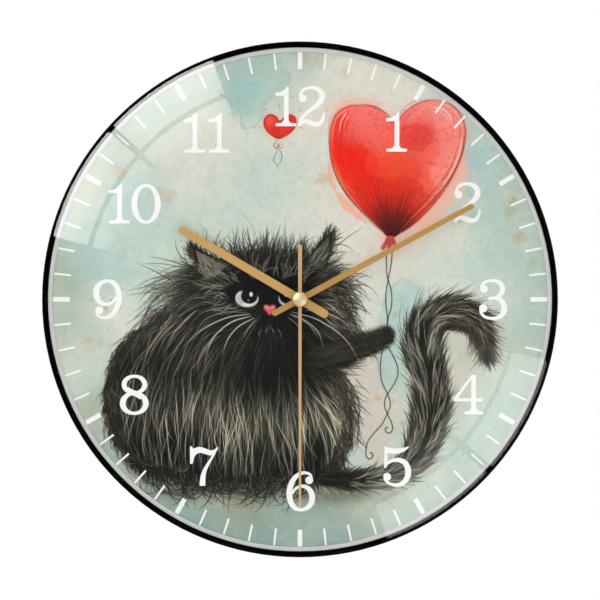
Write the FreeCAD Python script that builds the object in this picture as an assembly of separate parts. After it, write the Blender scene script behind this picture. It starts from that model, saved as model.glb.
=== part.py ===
# Round quartz wall clock, 300 mm across, with a domed lens, a printed dial and baton hands.
# Millimetres. The dial faces -Y, +Z is up and +X is to the reader's right.
# The wall plane is Y = 0. The origin is on the wall plane, on the axis of the hanging keyhole's round entry.
# Depth from the wall towards the reader is called d, so y = -d. The hands turn about the line x = 0, z = 0 of the
# clock frame, which lies KEYHOLE_Z below the origin; every solid is built in the clock frame and moved at export.
import FreeCAD, Part
import math
import os

V = FreeCAD.Vector
os.makedirs("parts", exist_ok=True)

# ---------------------------------------------------------------- driving dimensions
CASE_R = 150.0          # outside radius of the case
KEYHOLE_Z = 104.0       # height of the keyhole's round entry above the hands' axis
KEYHOLE_R = 4.5         # round entry of the keyhole
KEYHOLE_SLOT_R = 2.3    # half width of the slot that the nail's neck runs up
KEYHOLE_RISE = 10.0     # how far up the slot goes

LENS_R = 148.8          # edge of the lens
LENS_T = 2.5            # lens wall
LENS_TOP = 42.0         # front of the dome at the axis
LENS_FLAT_R = 108.0     # where the gentle crown meets the tighter shoulder
LENS_CROWN_DEG = 5.0    # slope of the crown where it meets the shoulder
LENS_EDGE_DEG = 30.0    # slope of the shoulder at the lens edge

SEAT_D = 22.0           # the frame's lens seat
DIAL_BACK_D = 19.7      # back of the dial plate
DIAL_PLATE_T = 1.5
DIAL_PRINT_T = 0.2
DIAL_R = 146.5
DIAL_SHOWN_R = 144.1    # bore of the pale spacer ring, where the printed dial starts to show
SPACER_R = 146.45

MOVEMENT_HALF = 28.0    # the movement is 56 mm square
MOVEMENT_REAR_D = 3.0
MOVEMENT_FRONT_D = 19.0
MOVEMENT_WALL = 1.2

HOUR_DEG, MINUTE_DEG, SECOND_DEG = 300.5, 61.5, 180.0   # clockwise from 12, as stored
HOUR_LEN, HOUR_TAIL, HOUR_W = 81.7, 18.8, 5.0
MINUTE_LEN, MINUTE_TAIL, MINUTE_W = 114.7, 18.3, 3.6
SECOND_LEN, SECOND_TAIL, SECOND_W, SECOND_TAIL_W = 121.3, 31.8, 1.7, 2.35
HOUR_HAND_D, MINUTE_HAND_D, SECOND_HAND_D = 25.4, 27.5, 29.6
HAND_T = 0.4

# gear train: teeth, module
SECOND_WHEEL = (60, 0.28)
INTERMEDIATE_PINION = (12, 0.28)
INTERMEDIATE_WHEEL = (60, 0.20)
ROTOR_PINION = (10, 0.20)
SECOND_PINION = (10, 0.24)
THIRD_WHEEL = (75, 0.24)
THIRD_PINION = (10, 20.4 / 90.0)
CENTRE_WHEEL = (80, 20.4 / 90.0)
CANNON_PINION = (15, 0.30)
MOTION_WHEEL = (45, 0.30)
MOTION_PINION = (12, 0.30)
HOUR_WHEEL = (48, 0.30)
SETTING_PINION = (15, 0.30)
PRESSURE_DEG = 25.0
ADDENDUM, DEDENDUM, BACKLASH = 0.80, 1.10, 0.12   # in modules

# arbors, in the clock frame's x, z
CENTRE = (0.0, 0.0)
THIRD = (-10.2 * math.cos(math.radians(45)), 10.2 * math.sin(math.radians(45)))
INTERMEDIATE = (10.08 * math.cos(math.radians(20)), 10.08 * math.sin(math.radians(20)))
ROTOR = (INTERMEDIATE[0] + 7.0 * math.cos(math.radians(85)), INTERMEDIATE[1] + 7.0 * math.sin(math.radians(85)))
MOTION = (0.0, 9.0)
SETTING = (0.0, 18.0)


# ---------------------------------------------------------------- helpers
def cyl(r, d0, d1, at=(0.0, 0.0)):
    return Part.makeCylinder(r, d1 - d0, V(at[0], -d0, at[1]), V(0, -1, 0))


def cone(r0, r1, d0, d1, at=(0.0, 0.0)):
    return Part.makeCone(r0, r1, d1 - d0, V(at[0], -d0, at[1]), V(0, -1, 0))


def tube(ro, ri, d0, d1, at=(0.0, 0.0)):
    return cyl(ro, d0, d1, at).cut(cyl(ri, d0 - 1, d1 + 1, at))


def block(x0, x1, z0, z1, d0, d1):
    return Part.makeBox(x1 - x0, d1 - d0, z1 - z0, V(x0, -d1, z0))


def plate(points, d0, d1):
    """A prism from a closed outline of (x, z) points."""
    pts = [V(x, -d0, z) for x, z in points]
    wire = Part.makePolygon(pts + [pts[0]])
    return Part.Face(wire).extrude(V(0, -(d1 - d0), 0))


def rounded(x0, x1, z0, z1, d0, d1, r):
    """A block with its four long edges rounded."""
    p = [(x0 + r, z0), (x1 - r, z0), (x1, z0 + r), (x1, z1 - r), (x1 - r, z1), (x0 + r, z1), (x0, z1 - r), (x0, z0 + r)]
    mid = [(x1 - r + r * math.sin(math.pi / 4), z0 + r - r * math.cos(math.pi / 4)),
           (x1 - r + r * math.sin(math.pi / 4), z1 - r + r * math.cos(math.pi / 4)),
           (x0 + r - r * math.sin(math.pi / 4), z1 - r + r * math.cos(math.pi / 4)),
           (x0 + r - r * math.sin(math.pi / 4), z0 + r - r * math.cos(math.pi / 4))]
    w = lambda q: V(q[0], -d0, q[1])
    edges = []
    for i in range(4):
        edges.append(Part.LineSegment(w(p[2 * i]), w(p[2 * i + 1])).toShape())
        edges.append(Part.Arc(w(p[2 * i + 1]), w(mid[i]), w(p[(2 * i + 2) % 8])).toShape())
    return Part.Face(Part.Wire(edges)).extrude(V(0, -(d1 - d0), 0))


def slab(x0, x1, z, half, d0, d1):
    """An obround plate along X, of half width half, whose ends are round."""
    w = lambda x, zz: V(x, -d0, zz)
    edges = [Part.LineSegment(w(x0, z - half), w(x1, z - half)).toShape(),
             Part.Arc(w(x1, z - half), w(x1 + half, z), w(x1, z + half)).toShape(),
             Part.LineSegment(w(x1, z + half), w(x0, z + half)).toShape(),
             Part.Arc(w(x0, z + half), w(x0 - half, z), w(x0, z - half)).toShape()]
    return Part.Face(Part.Wire(edges)).extrude(V(0, -(d1 - d0), 0))


def ring_profile(points):
    """A solid of revolution about the hands' axis from a closed outline of (r, d) points joined by lines."""
    pts = [V(r, -d, 0) for r, d in points]
    wire = Part.makePolygon(pts + [pts[0]])
    return Part.Face(wire).revolve(V(0, 0, 0), V(0, 1, 0), 360)


def turned(shape, clockwise_deg, at=(0.0, 0.0)):
    """Turns a shape clockwise as the reader sees it, about an arbor."""
    s = shape.copy()
    s.rotate(V(at[0], 0, at[1]), V(0, 1, 0), clockwise_deg)
    return s


def polar(r, deg):
    """A point at radius r, deg clockwise from 12."""
    a = math.radians(deg)
    return (r * math.sin(a), r * math.cos(a))


def solid(shape):
    if shape.ShapeType == "Compound" and len(shape.Solids) == 1:
        return shape.Solids[0]
    return shape


def save(name, shape):
    s = solid(shape.removeSplitter() if len(shape.Faces) < 400 else shape).copy()
    s.translate(V(0, 0, -KEYHOLE_Z))
    if not s.isValid() or s.Volume <= 0:
        raise RuntimeError(name + " isn't a valid solid")
    s.exportStep("parts/" + name + ".step")
    print("%-26s %2d solid(s) %10.2f mm3" % (name, len(s.Solids), s.Volume))


# ---------------------------------------------------------------- gears
def gear_outline(teeth, module, at, phase):
    """An external involute gear's outline. phase is the angle of one tooth's middle, anticlockwise from +X, in radians."""
    a = math.radians(PRESSURE_DEG)
    rp = teeth * module / 2.0
    rb, ra, rf = rp * math.cos(a), rp + ADDENDUM * module, rp - DEDENDUM * module
    inv = lambda t: math.tan(t) - t
    half = (math.pi / 2 - BACKLASH) / teeth

    def half_at(r):
        if r <= rb:
            return half + inv(a)
        return half + inv(a) - inv(math.acos(rb / r))

    low = max(rb, rf)
    radii = ([rf] if rf < rb - 1e-6 else []) + [low + (ra - low) * t for t in (0.0, 0.4, 0.75, 1.0)]
    out = []
    for k in range(teeth):
        mid = phase + 2 * math.pi * k / teeth
        for r in radii:
            out.append((at[0] + r * math.cos(mid - half_at(r)), at[1] + r * math.sin(mid - half_at(r))))
        for r in reversed(radii):
            out.append((at[0] + r * math.cos(mid + half_at(r)), at[1] + r * math.sin(mid + half_at(r))))
    return out


def gear(spec, at, phase, d0, d1):
    return plate(gear_outline(spec[0], spec[1], at, phase), d0, d1)


def meshed_phase(driver, driver_at, driver_phase, driven, driven_at):
    """The phase that puts the driven gear's space where the driver's tooth is, on the line between the arbors."""
    line = math.atan2(driven_at[1] - driver_at[1], driven_at[0] - driver_at[0])
    share = ((line - driver_phase) / (2 * math.pi / driver[0])) % 1.0
    wanted = 0.5 - share
    return line + math.pi - wanted * 2 * math.pi / driven[0]


def windows(shape, at, r_mid, r_hole, count, d0, d1, start=0.0):
    for k in range(count):
        t = start + 2 * math.pi * k / count
        shape = shape.cut(cyl(r_hole, d0 - 0.5, d1 + 0.5, (at[0] + r_mid * math.cos(t), at[1] + r_mid * math.sin(t))))
    return shape


# ================================================================ case
# frame ring: outer wall, lens seat, thin front lip, a ledge behind the dial, and six screw bosses joined to the wall by ribs
BOSS_R, BOSS_AT = 4.2, 140.6
BOSS_DEGS = [30, 90, 150, 210, 270, 330]
COVER_BACK_D, COVER_FRONT_D = 1.5, 3.6
frame = ring_profile([
    (147.2, 0.6), (148.6, 0.0), (149.4, 0.6), (150.0, 1.8), (150.0, 23.6), (149.75, 24.5), (149.35, 24.95),
    (148.95, 24.7), (148.95, SEAT_D), (146.85, SEAT_D), (146.85, DIAL_BACK_D), (144.8, DIAL_BACK_D), (144.8, 18.7),
    (147.2, 16.6)])
for deg in BOSS_DEGS:
    at = polar(BOSS_AT, deg)
    boss = cyl(BOSS_R, COVER_FRONT_D, DIAL_BACK_D, at)
    rib = turned(block(-2.4, 2.4, BOSS_AT, 148.0, COVER_FRONT_D, DIAL_BACK_D), deg)
    frame = frame.fuse(boss).fuse(rib)
for deg in BOSS_DEGS:
    frame = frame.cut(cyl(1.25, 3.0, 16.5, polar(BOSS_AT, deg)))
save("frame_ring", frame)

# rear cover: a moulded disc with a foot rim and beads, a square window for the movement and a slot behind the hanger
cover = ring_profile([(0.0, COVER_BACK_D), (133.0, COVER_BACK_D), (134.0, 0.0), (145.2, 0.0), (146.9, 1.4),
                      (146.9, COVER_FRONT_D), (0.0, COVER_FRONT_D)])
cover = cover.cut(ring_profile([(131.4, 1.0), (134.2, -1.0), (134.2, 2.1), (131.4, 2.1)]))
for r0, r1 in ((118.0, 120.0), (92.0, 94.0), (66.0, 68.0)):
    bead = ring_profile([(r0 + 0.3, 0.9), (r1 - 0.3, 0.9), (r1, 1.6), (r0, 1.6)])
    cover = cover.fuse(bead)
PLATE_HALF, PLATE_LOW, PLATE_HIGH, PLATE_T = 11.0, -14.0, 26.0, 1.5


def upright(half, low, high, d0, d1):
    """An obround plate along Z round the keyhole, of half width half."""
    w = lambda x, z: V(x, -d0, KEYHOLE_Z + z)
    lo, hi = low + half, high - half
    edges = [Part.LineSegment(w(half, lo), w(half, hi)).toShape(), Part.Arc(w(half, hi), w(0, hi + half), w(-half, hi)).toShape(),
             Part.LineSegment(w(-half, hi), w(-half, lo)).toShape(), Part.Arc(w(-half, lo), w(0, lo - half), w(half, lo)).toShape()]
    return Part.Face(Part.Wire(edges)).extrude(V(0, -(d1 - d0), 0))


cover = cover.cut(upright(PLATE_HALF + 0.6, PLATE_LOW - 0.6, PLATE_HIGH + 0.6, -1.0, COVER_BACK_D))
cover = cover.cut(upright(7.0, -7.0, 17.0, -1.0, 5.0))
for z in (-10.5, 21.5):
    cover = cover.cut(cyl(1.2, 0.0, 5.0, (0.0, KEYHOLE_Z + z)))
cover = cover.cut(rounded(-29.2, 29.2, -29.2, 29.2, -1.0, 15.0, 3.0))
for deg in BOSS_DEGS:
    at = polar(BOSS_AT, deg)
    cover = cover.cut(cyl(1.75, -1.0, 6.0, at)).cut(cyl(3.2, -1.0, 2.0, at))
# rows of short vent slots beside the window
for k in range(5):
    for sgn in (-1, 1):
        x = sgn * (38.0 + 3.4 * k)
        cover = cover.cut(block(x - 0.6, x + 0.6, -12.0, 12.0, 0.0, 5.0))
save("rear_cover", cover)

# hanger: a pressed steel plate with the keyhole, held by two flush rivets
hanger = upright(PLATE_HALF, PLATE_LOW, PLATE_HIGH, 0.0, PLATE_T)
hanger = hanger.cut(cyl(KEYHOLE_R, -1.0, 5.0, (0.0, KEYHOLE_Z)))
hanger = hanger.cut(block(-KEYHOLE_SLOT_R, KEYHOLE_SLOT_R, KEYHOLE_Z, KEYHOLE_Z + KEYHOLE_RISE, -1.0, 5.0))
hanger = hanger.cut(cyl(KEYHOLE_SLOT_R, -1.0, 5.0, (0.0, KEYHOLE_Z + KEYHOLE_RISE)))
rivets = []
for z in (-10.5, 21.5):
    at = (0.0, KEYHOLE_Z + z)
    hanger = hanger.cut(cone(2.3, 1.2, 0.0, 1.0, at)).cut(cyl(1.2, 0.5, 3.0, at))
    rivets.append(solid(cone(2.3, 1.2, 0.0, 1.0, at).fuse(cyl(1.2, 0.5, 4.0, at)).fuse(cyl(2.1, COVER_FRONT_D, 4.5, at))))
save("hanger_plate", hanger)
save("hanger_rivets", Part.makeCompound(rivets))

# six self-tapping pan screws through the rear cover
screws = []
for deg in BOSS_DEGS:
    at = polar(BOSS_AT, deg)
    s = cyl(2.9, 0.5, 2.0, at).fuse(cyl(1.25, 2.0, 14.0, at))
    s = s.cut(block(at[0] - 1.9, at[0] + 1.9, at[1] - 0.35, at[1] + 0.35, 0.0, 1.3))
    s = s.cut(block(at[0] - 0.35, at[0] + 0.35, at[1] - 1.9, at[1] + 1.9, 0.0, 1.3))
    screws.append(s)
save("rear_cover_screws", Part.makeCompound([solid(s) for s in screws]))

# lens: gentle crown, tighter shoulder, ground flat land at the edge
t1, t2 = math.radians(LENS_CROWN_DEG), math.radians(LENS_EDGE_DEG)
R1 = LENS_FLAT_R / math.sin(t1)
R2 = (LENS_R - LENS_FLAT_R) / (math.sin(t2) - math.sin(t1))
c1 = (0.0, LENS_TOP - R1)
c2 = (c1[0] + (R1 - R2) * math.sin(t1), c1[1] + (R1 - R2) * math.cos(t1))


def on(c, R, t):
    return (c[0] + R * math.sin(t), c[1] + R * math.cos(t))


def vd(q):
    return V(q[0], -q[1], 0)


LAND_R, LAND_D = 147.0, SEAT_D + 0.3
tl = math.asin((LAND_R - c2[0]) / (R2 - LENS_T))
land_in = on(c2, R2 - LENS_T, tl)
edges = [
    Part.Arc(vd(on(c1, R1, 0)), vd(on(c1, R1, t1 / 2)), vd(on(c1, R1, t1))).toShape(),
    Part.Arc(vd(on(c2, R2, t1)), vd(on(c2, R2, (t1 + t2) / 2)), vd(on(c2, R2, t2))).toShape(),
    Part.LineSegment(vd(on(c2, R2, t2)), vd((LENS_R, LAND_D))).toShape(),
    Part.LineSegment(vd((LENS_R, LAND_D)), vd((LAND_R, LAND_D))).toShape(),
    Part.LineSegment(vd((LAND_R, LAND_D)), vd(land_in)).toShape(),
    Part.Arc(vd(land_in), vd(on(c2, R2 - LENS_T, (t1 + tl) / 2)), vd(on(c2, R2 - LENS_T, t1))).toShape(),
    Part.Arc(vd(on(c1, R1 - LENS_T, t1)), vd(on(c1, R1 - LENS_T, t1 / 2)), vd(on(c1, R1 - LENS_T, 0))).toShape(),
    Part.LineSegment(vd(on(c1, R1 - LENS_T, 0)), vd(on(c1, R1, 0))).toShape(),
]
lens = Part.Face(Part.Wire(edges)).revolve(V(0, 0, 0), V(0, 1, 0), 360)
save("lens", lens)
print("lens edge front d = %.2f, land inner d = %.2f" % (on(c2, R2, t2)[1], land_in[1]))

save("lens_adhesive_ring", tube(148.7, 147.1, SEAT_D, LAND_D))
save("spacer_ring", ring_profile([(DIAL_SHOWN_R, DIAL_BACK_D + DIAL_PLATE_T + DIAL_PRINT_T), (SPACER_R, DIAL_BACK_D + DIAL_PLATE_T + DIAL_PRINT_T),
                                  (SPACER_R, 22.3), (145.7, 22.45), (DIAL_SHOWN_R, 22.15)]))
d_plate = DIAL_BACK_D + DIAL_PLATE_T
save("dial_plate", tube(DIAL_R, 4.3, DIAL_BACK_D, d_plate))
save("dial_print", tube(DIAL_R - 0.2, 4.3, d_plate, d_plate + DIAL_PRINT_T))
dial_front = d_plate + DIAL_PRINT_T

# ================================================================ movement case
H, W = MOVEMENT_HALF, MOVEMENT_WALL
MR, MF = MOVEMENT_REAR_D, MOVEMENT_FRONT_D
BAY_TOP = -11.2          # underside of the wall over the battery bay
front_case = rounded(-H, H, -H, H, MR + W, MF, 3.0).cut(rounded(-H + W, H - W, -H + W, H - W, MR, MF - W, 2.0))
front_case = front_case.fuse(block(-H + 0.5, H - 0.5, BAY_TOP, BAY_TOP + 1.0, MR + W, MF - W + 0.1))
front_case = front_case.fuse(cyl(9.0, MF - W - 1.0, MF))
for q in ((-13.0, -7.6), (13.0, -7.6), (-12.6, 19.0), (13.4, 19.0)):
    front_case = front_case.fuse(cyl(1.7, 12.6, MF - W + 0.1, q)).cut(cyl(0.55, 12.0, 16.5, q))
front_case = front_case.cut(cyl(4.05, 10.0, 30.0)).cut(cyl(6.05, 10.0, MF - W))
# two cradle ribs under the cell
for x in (-14.0, 14.0):
    front_case = front_case.fuse(block(x - 0.6, x + 0.6, -27.0, BAY_TOP, 14.0, MF - W + 0.1)
                                 .cut(Part.makeCylinder(7.25, 60, V(-30, -10.6, -19.1), V(1, 0, 0))))
# slots that let the contact strips up past the bay wall
front_case = front_case.cut(block(-26.75, -26.0, BAY_TOP - 0.5, BAY_TOP + 1.5, 7.0, 12.2))
front_case = front_case.cut(block(26.0, 26.75, BAY_TOP - 0.5, BAY_TOP + 1.5, 7.0, 12.2))
save("movement_front_case", front_case)

rear = rounded(-H, H, -H, H, MR, MR + W, 3.0)
rear = rear.cut(block(-26.6, 26.6, -26.7, BAY_TOP - 0.2, MR - 1, MR + W + 1))
rear = rear.fuse(rounded(-H + W + 0.1, H - W - 0.1, BAY_TOP + 1.1, H - W - 0.1, MR + W, MR + W + 1.6, 2.0)
                 .cut(rounded(-H + W + 1.1, H - W - 1.1, BAY_TOP + 2.1, H - W - 1.1, MR, MR + W + 2.0, 1.5)))
for q in (CENTRE, THIRD, INTERMEDIATE, ROTOR):
    rear = rear.fuse(cyl(1.3, MR + W - 0.1, MR + W + 0.7, q))
rear = rear.cut(cyl(0.5, MR + 0.5, MR + 3, THIRD)).cut(cyl(0.5, MR + 0.5, MR + 3, INTERMEDIATE))
rear = rear.cut(cyl(0.5, MR + 0.5, MR + 3, ROTOR)).cut(cyl(0.56, MR + 0.5, MR + 3, CENTRE))
rear = rear.fuse(tube(2.9, 1.56, MR + 0.1, MR + W + 2.0, SETTING)).cut(cyl(1.56, MR - 1, MR + 6, SETTING))
rear = rear.fuse(tube(8.4, 7.6, MR - 1.6, MR + 0.05, SETTING))
for k in range(7):           # moulded ridges that ventilate the back
    rear = rear.fuse(block(-24.0 + 1.0 * k * 2, -23.2 + 1.0 * k * 2, -6.0, 6.0, MR - 0.5, MR + 0.1))
    rear = rear.fuse(block(12.0 + 1.0 * k * 2, 12.8 + 1.0 * k * 2, -6.0, 6.0, MR - 0.5, MR + 0.1))
save("movement_rear_cover", rear)

# train plate with its pillar holes, bearings and the stud for the motion wheel
train = rounded(-15.2, 15.4, -9.6, 21.0, 11.6, 12.6, 2.0)
for q, r in ((THIRD, 0.5), (INTERMEDIATE, 0.5), (ROTOR, 0.5), (CENTRE, 1.68), (SETTING, 1.56)):
    train = train.cut(cyl(r, 11.0, 13.0, q))
for q in ((-13.0, -7.6), (13.0, -7.6), (-12.6, 19.0), (13.4, 19.0)):
    train = train.cut(cyl(0.75, 11.0, 13.0, q))
train = train.cut(cyl(1.6, 11.0, 13.0, (-11.2, -2.4))).cut(cyl(1.6, 11.0, 13.0, (6.8, 15.2)))
train = train.fuse(cyl(0.7, 12.5, 16.7, MOTION)).fuse(cyl(1.2, 12.5, 13.3, MOTION))
save("train_plate", train)
ts = []
for q in ((-13.0, -7.6), (13.0, -7.6), (-12.6, 19.0), (13.4, 19.0)):
    s = cyl(1.25, 10.8, 11.6, q).fuse(cyl(0.55, 11.6, 15.5, q)).cut(block(q[0] - 1.0, q[0] + 1.0, q[1] - 0.18, q[1] + 0.18, 10.5, 11.15))
    ts.append(solid(s))
save("train_plate_screws", Part.makeCompound(ts))

# ================================================================ step motor
stator = cyl(5.0, 9.3, 10.3, ROTOR)
COIL_X = 21.0
top_z, bot_z = 19.6, -7.6


def bar(x0, z0, x1, z1, w, d0, d1):
    L = math.hypot(x1 - x0, z1 - z0)
    ux, uz = (x1 - x0) / L, (z1 - z0) / L
    nx, nz = -uz * w / 2, ux * w / 2
    return plate([(x0 + nx, z0 + nz), (x1 + nx, z1 + nz), (x1 - nx, z1 - nz), (x0 - nx, z0 - nz)], d0, d1)


stator = stator.fuse(bar(ROTOR[0] + 0.4, ROTOR[1] + 2.0, 12.4, top_z - 0.6, 4.2, 9.3, 10.3))
stator = stator.fuse(block(10.4, COIL_X + 2.2, top_z - 2.0, top_z + 1.2, 9.3, 10.3))
stator = stator.fuse(bar(ROTOR[0] + 2.2, ROTOR[1] - 2.0, 13.6, bot_z, 4.0, 9.3, 10.3))
stator = stator.fuse(block(11.7, COIL_X + 2.2, bot_z - 1.2, bot_z + 1.6, 9.3, 10.3))
stator = stator.cut(cyl(3.35, 9.0, 11.0, ROTOR))
stator = stator.cut(cyl(0.35, 9.0, 11.0, (ROTOR[0] + 3.35, ROTOR[1] + 0.3))).cut(cyl(0.35, 9.0, 11.0, (ROTOR[0] - 3.35, ROTOR[1] - 0.3)))
stator = stator.cut(cyl(9.7, 9.0, 11.0)).cut(cyl(1.3, 9.0, 11.0, INTERMEDIATE))
save("stator", stator)
core = block(COIL_X - 1.6, COIL_X + 1.6, bot_z - 1.2, top_z + 1.2, 10.3, 11.3)
save("coil_core", core)
bobbin = block(COIL_X - 2.2, COIL_X + 2.2, -4.6, 16.6, 9.4, 12.2)
for z in (-5.2, 16.2):
    bobbin = bobbin.fuse(block(COIL_X - 4.6, COIL_X + 4.6, z, z + 0.9, 6.6, 15.0))
bobbin = bobbin.cut(block(COIL_X - 1.65, COIL_X + 1.65, -8.0, 18.0, 10.25, 11.35))
save("coil_bobbin", bobbin)
ends = [V(COIL_X, -10.8, 0)]
wind = Part.makeCylinder(4.1, 20.3, V(COIL_X, -10.8, -4.2), V(0, 0, 1))
for k in range(14):
    zg = -3.4 + 1.4 * k
    wind = wind.cut(Part.makeTorus(4.16, 0.16, V(COIL_X, -10.8, zg), V(0, 0, 1)))
wind = wind.cut(block(COIL_X - 2.2, COIL_X + 2.2, -6.0, 18.0, 9.4, 12.2))
save("coil_winding", wind)

board = plate([(-26.4, -9.4), (-17.6, -9.4), (-17.6, 17.2), (-13.6, 21.4), (26.0, 21.4), (26.0, 24.6), (24.6, 26.2), (-24.8, 26.2), (-26.4, 24.6)], 8.0, 8.8)
for q in ((-22.0, -4.0), (-22.0, 23.8), (22.0, 23.8)):
    board = board.cut(cyl(0.8, 7.0, 9.5, q))
save("circuit_board", board)
save("control_chip", cone(2.6, 1.9, 8.8, 9.7, (-21.8, 12.0)))
crystal = Part.makeCylinder(1.0, 6.0, V(-23.6, -9.85, 0.0), V(0, 0, 1)).fuse(Part.makeCylinder(0.85, 0.5, V(-23.6, -9.85, -0.5), V(0, 0, 1)))
save("quartz_crystal", crystal)
pos_c = block(-26.4, -26.1, -24.0, -14.0, 6.0, 15.0).fuse(block(-26.4, -26.1, -14.2, -9.2, 9.0, 12.0)).fuse(block(-26.4, -24.4, -9.4, -7.6, 8.8, 9.1)).fuse(block(-26.4, -26.1, -9.4, -7.6, 8.8, 12.0))
save("battery_positive_contact", pos_c)
# the negative contact: a wall strip with a bowed leaf that bears on the cell's flat end
leaf_o = Part.Arc(V(26.3, -14.4, 0), V(24.4, -10.6, 0), V(26.3, -6.8, 0))
leaf_i = Part.Arc(V(26.3, -7.2, 0), V(24.75, -10.6, 0), V(26.3, -14.0, 0))
lw = Part.Wire([leaf_o.toShape(), Part.LineSegment(V(26.3, -6.8, 0), V(26.3, -7.2, 0)).toShape(), leaf_i.toShape(),
                Part.LineSegment(V(26.3, -14.0, 0), V(26.3, -14.4, 0)).toShape()])
leaf = Part.Face(lw).extrude(V(0, 0, 6.0))
leaf.translate(V(0, 0, -22.1))
neg_c = block(26.25, 26.6, -24.0, -14.0, 6.0, 15.0).fuse(leaf).fuse(block(26.25, 26.6, -14.2, 22.0, 9.0, 12.0)).fuse(block(24.0, 26.6, 21.5, 22.5, 8.8, 9.1)).fuse(block(26.25, 26.6, 20.0, 22.5, 8.8, 12.0))
save("battery_negative_contact", neg_c)

# AA cell
CELL_Z, CELL_D = -19.1, 10.6
cell = Part.makeCylinder(7.1, 48.9, V(-24.7, -CELL_D, CELL_Z), V(1, 0, 0))
cell = cell.cut(Part.makeCylinder(8.0, 0.5, V(24.1, -CELL_D, CELL_Z), V(1, 0, 0)).cut(Part.makeCylinder(6.5, 0.6, V(24.05, -CELL_D, CELL_Z), V(1, 0, 0))))
save("battery_cell", cell)
capb = Part.makeCylinder(2.7, 1.3, V(-26.0, -CELL_D, CELL_Z), V(1, 0, 0))
save("battery_positive_cap", capb)

# ================================================================ fixings round the shaft
bush = cyl(6.0, MF - W - 1.0, MF - W).fuse(cyl(4.0, MF - W - 1.0, 24.4))
for k in range(7):            # thread shown as shallow turned grooves
    dg = 20.2 + 0.6 * k
    bush = bush.cut(ring_profile([(3.78, dg), (4.2, dg - 0.22), (4.2, dg + 0.22)]))
bush = bush.cut(cyl(2.62, 10.0, 30.0))
save("threaded_bushing", bush)
save("rubber_washer", tube(10.0, 4.2, MF, DIAL_BACK_D))
save("brass_washer", tube(7.2, 4.15, dial_front, dial_front + 0.45))
AF = 11.0
hexa = [(AF / math.sqrt(3) * math.cos(math.radians(60 * k)), AF / math.sqrt(3) * math.sin(math.radians(60 * k))) for k in range(6)]
nut = plate(hexa, dial_front + 0.45, dial_front + 2.45)
nut = nut.common(cone(7.2, 5.6, dial_front + 0.0, dial_front + 2.45)).cut(cyl(4.02, 10, 40))
save("hex_nut", nut)

# ================================================================ gear phases at rest
ph_second_pinion = 0.13
ph_third_wheel = meshed_phase(SECOND_PINION, CENTRE, ph_second_pinion, THIRD_WHEEL, THIRD)
ph_third_pinion = 0.31
ph_centre_wheel = meshed_phase(THIRD_PINION, THIRD, ph_third_pinion, CENTRE_WHEEL, CENTRE)
ph_second_wheel = 0.07
ph_inter_pinion = meshed_phase(SECOND_WHEEL, CENTRE, ph_second_wheel, INTERMEDIATE_PINION, INTERMEDIATE)
ph_inter_wheel = 0.02
ph_rotor_pinion = meshed_phase(INTERMEDIATE_WHEEL, INTERMEDIATE, ph_inter_wheel, ROTOR_PINION, ROTOR)
ph_cannon = 0.21
ph_motion_wheel = meshed_phase(CANNON_PINION, CENTRE, ph_cannon, MOTION_WHEEL, MOTION)
ph_motion_pinion = 0.4
ph_hour_wheel = meshed_phase(MOTION_PINION, MOTION, ph_motion_pinion, HOUR_WHEEL, CENTRE)
ph_setting = meshed_phase(MOTION_WHEEL, MOTION, ph_motion_wheel, SETTING_PINION, SETTING)

# ================================================================ going train
second_wheel = gear(SECOND_WHEEL, CENTRE, ph_second_wheel, 5.4, 6.2).fuse(gear(SECOND_PINION, CENTRE, ph_second_pinion, 6.1, 7.9))
second_wheel = windows(second_wheel, CENTRE, 4.4, 1.25, 5, 5.4, 6.2)
second_wheel = second_wheel.cut(cyl(0.5, 4, 9))
save("second_wheel", second_wheel)
save("second_arbor", cyl(0.5, 3.7, 31.4))

third = gear(THIRD_WHEEL, THIRD, ph_third_wheel, 6.6, 7.4).fuse(gear(THIRD_PINION, THIRD, ph_third_pinion, 7.3, 10.5))
third = windows(third, THIRD, 5.3, 1.6, 6, 6.6, 7.4)
third = third.fuse(cyl(0.45, 3.7, 12.4, THIRD)).fuse(cyl(0.9, 5.2, 6.7, THIRD))
save("third_wheel", third)

inter = gear(INTERMEDIATE_WHEEL, INTERMEDIATE, ph_inter_wheel, 6.8, 7.4).fuse(gear(INTERMEDIATE_PINION, INTERMEDIATE, ph_inter_pinion, 5.2, 6.9))
inter = windows(inter, INTERMEDIATE, 3.7, 1.0, 5, 6.8, 7.4)
inter = inter.fuse(cyl(0.45, 3.7, 12.4, INTERMEDIATE)).fuse(cyl(0.8, 7.3, 8.6, INTERMEDIATE)).fuse(cyl(0.75, 10.6, 11.3, INTERMEDIATE))
save("intermediate_wheel", inter)

rotor_p = gear(ROTOR_PINION, ROTOR, ph_rotor_pinion, 6.5, 7.9).fuse(cyl(0.45, 3.7, 12.4, ROTOR)).fuse(cyl(0.78, 5.2, 8.2, ROTOR))
rotor_p = rotor_p.fuse(cyl(1.6, 7.9, 8.2, ROTOR)).fuse(cyl(0.9, 8.1, 11.3, ROTOR))
save("rotor_pinion", rotor_p)
save("rotor_magnet", tube(3.0, 0.9, 8.2, 11.2, ROTOR))

centre_wheel = gear(CENTRE_WHEEL, CENTRE, ph_centre_wheel, 9.2, 10.0)
centre_wheel = windows(centre_wheel, CENTRE, 5.4, 1.7, 6, 9.2, 10.0)
centre_wheel = centre_wheel.cut(cyl(1.9, 8, 11))
save("centre_wheel", centre_wheel)
clutch = ring_profile([(1.6, 10.2), (3.3, 10.02), (3.3, 10.2), (1.6, 10.4)])
save("clutch_spring", clutch)
pipe = cyl(1.6, 8.9, 28.7).fuse(cyl(2.4, 8.7, 9.2)).fuse(cyl(1.9, 9.1, 10.0)).fuse(cyl(2.2, 10.4, 10.8))
pipe = pipe.fuse(gear(CANNON_PINION, CENTRE, ph_cannon, 13.3, 15.1)).cut(cyl(0.58, 8, 30))
save("minute_pipe", pipe)

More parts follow.
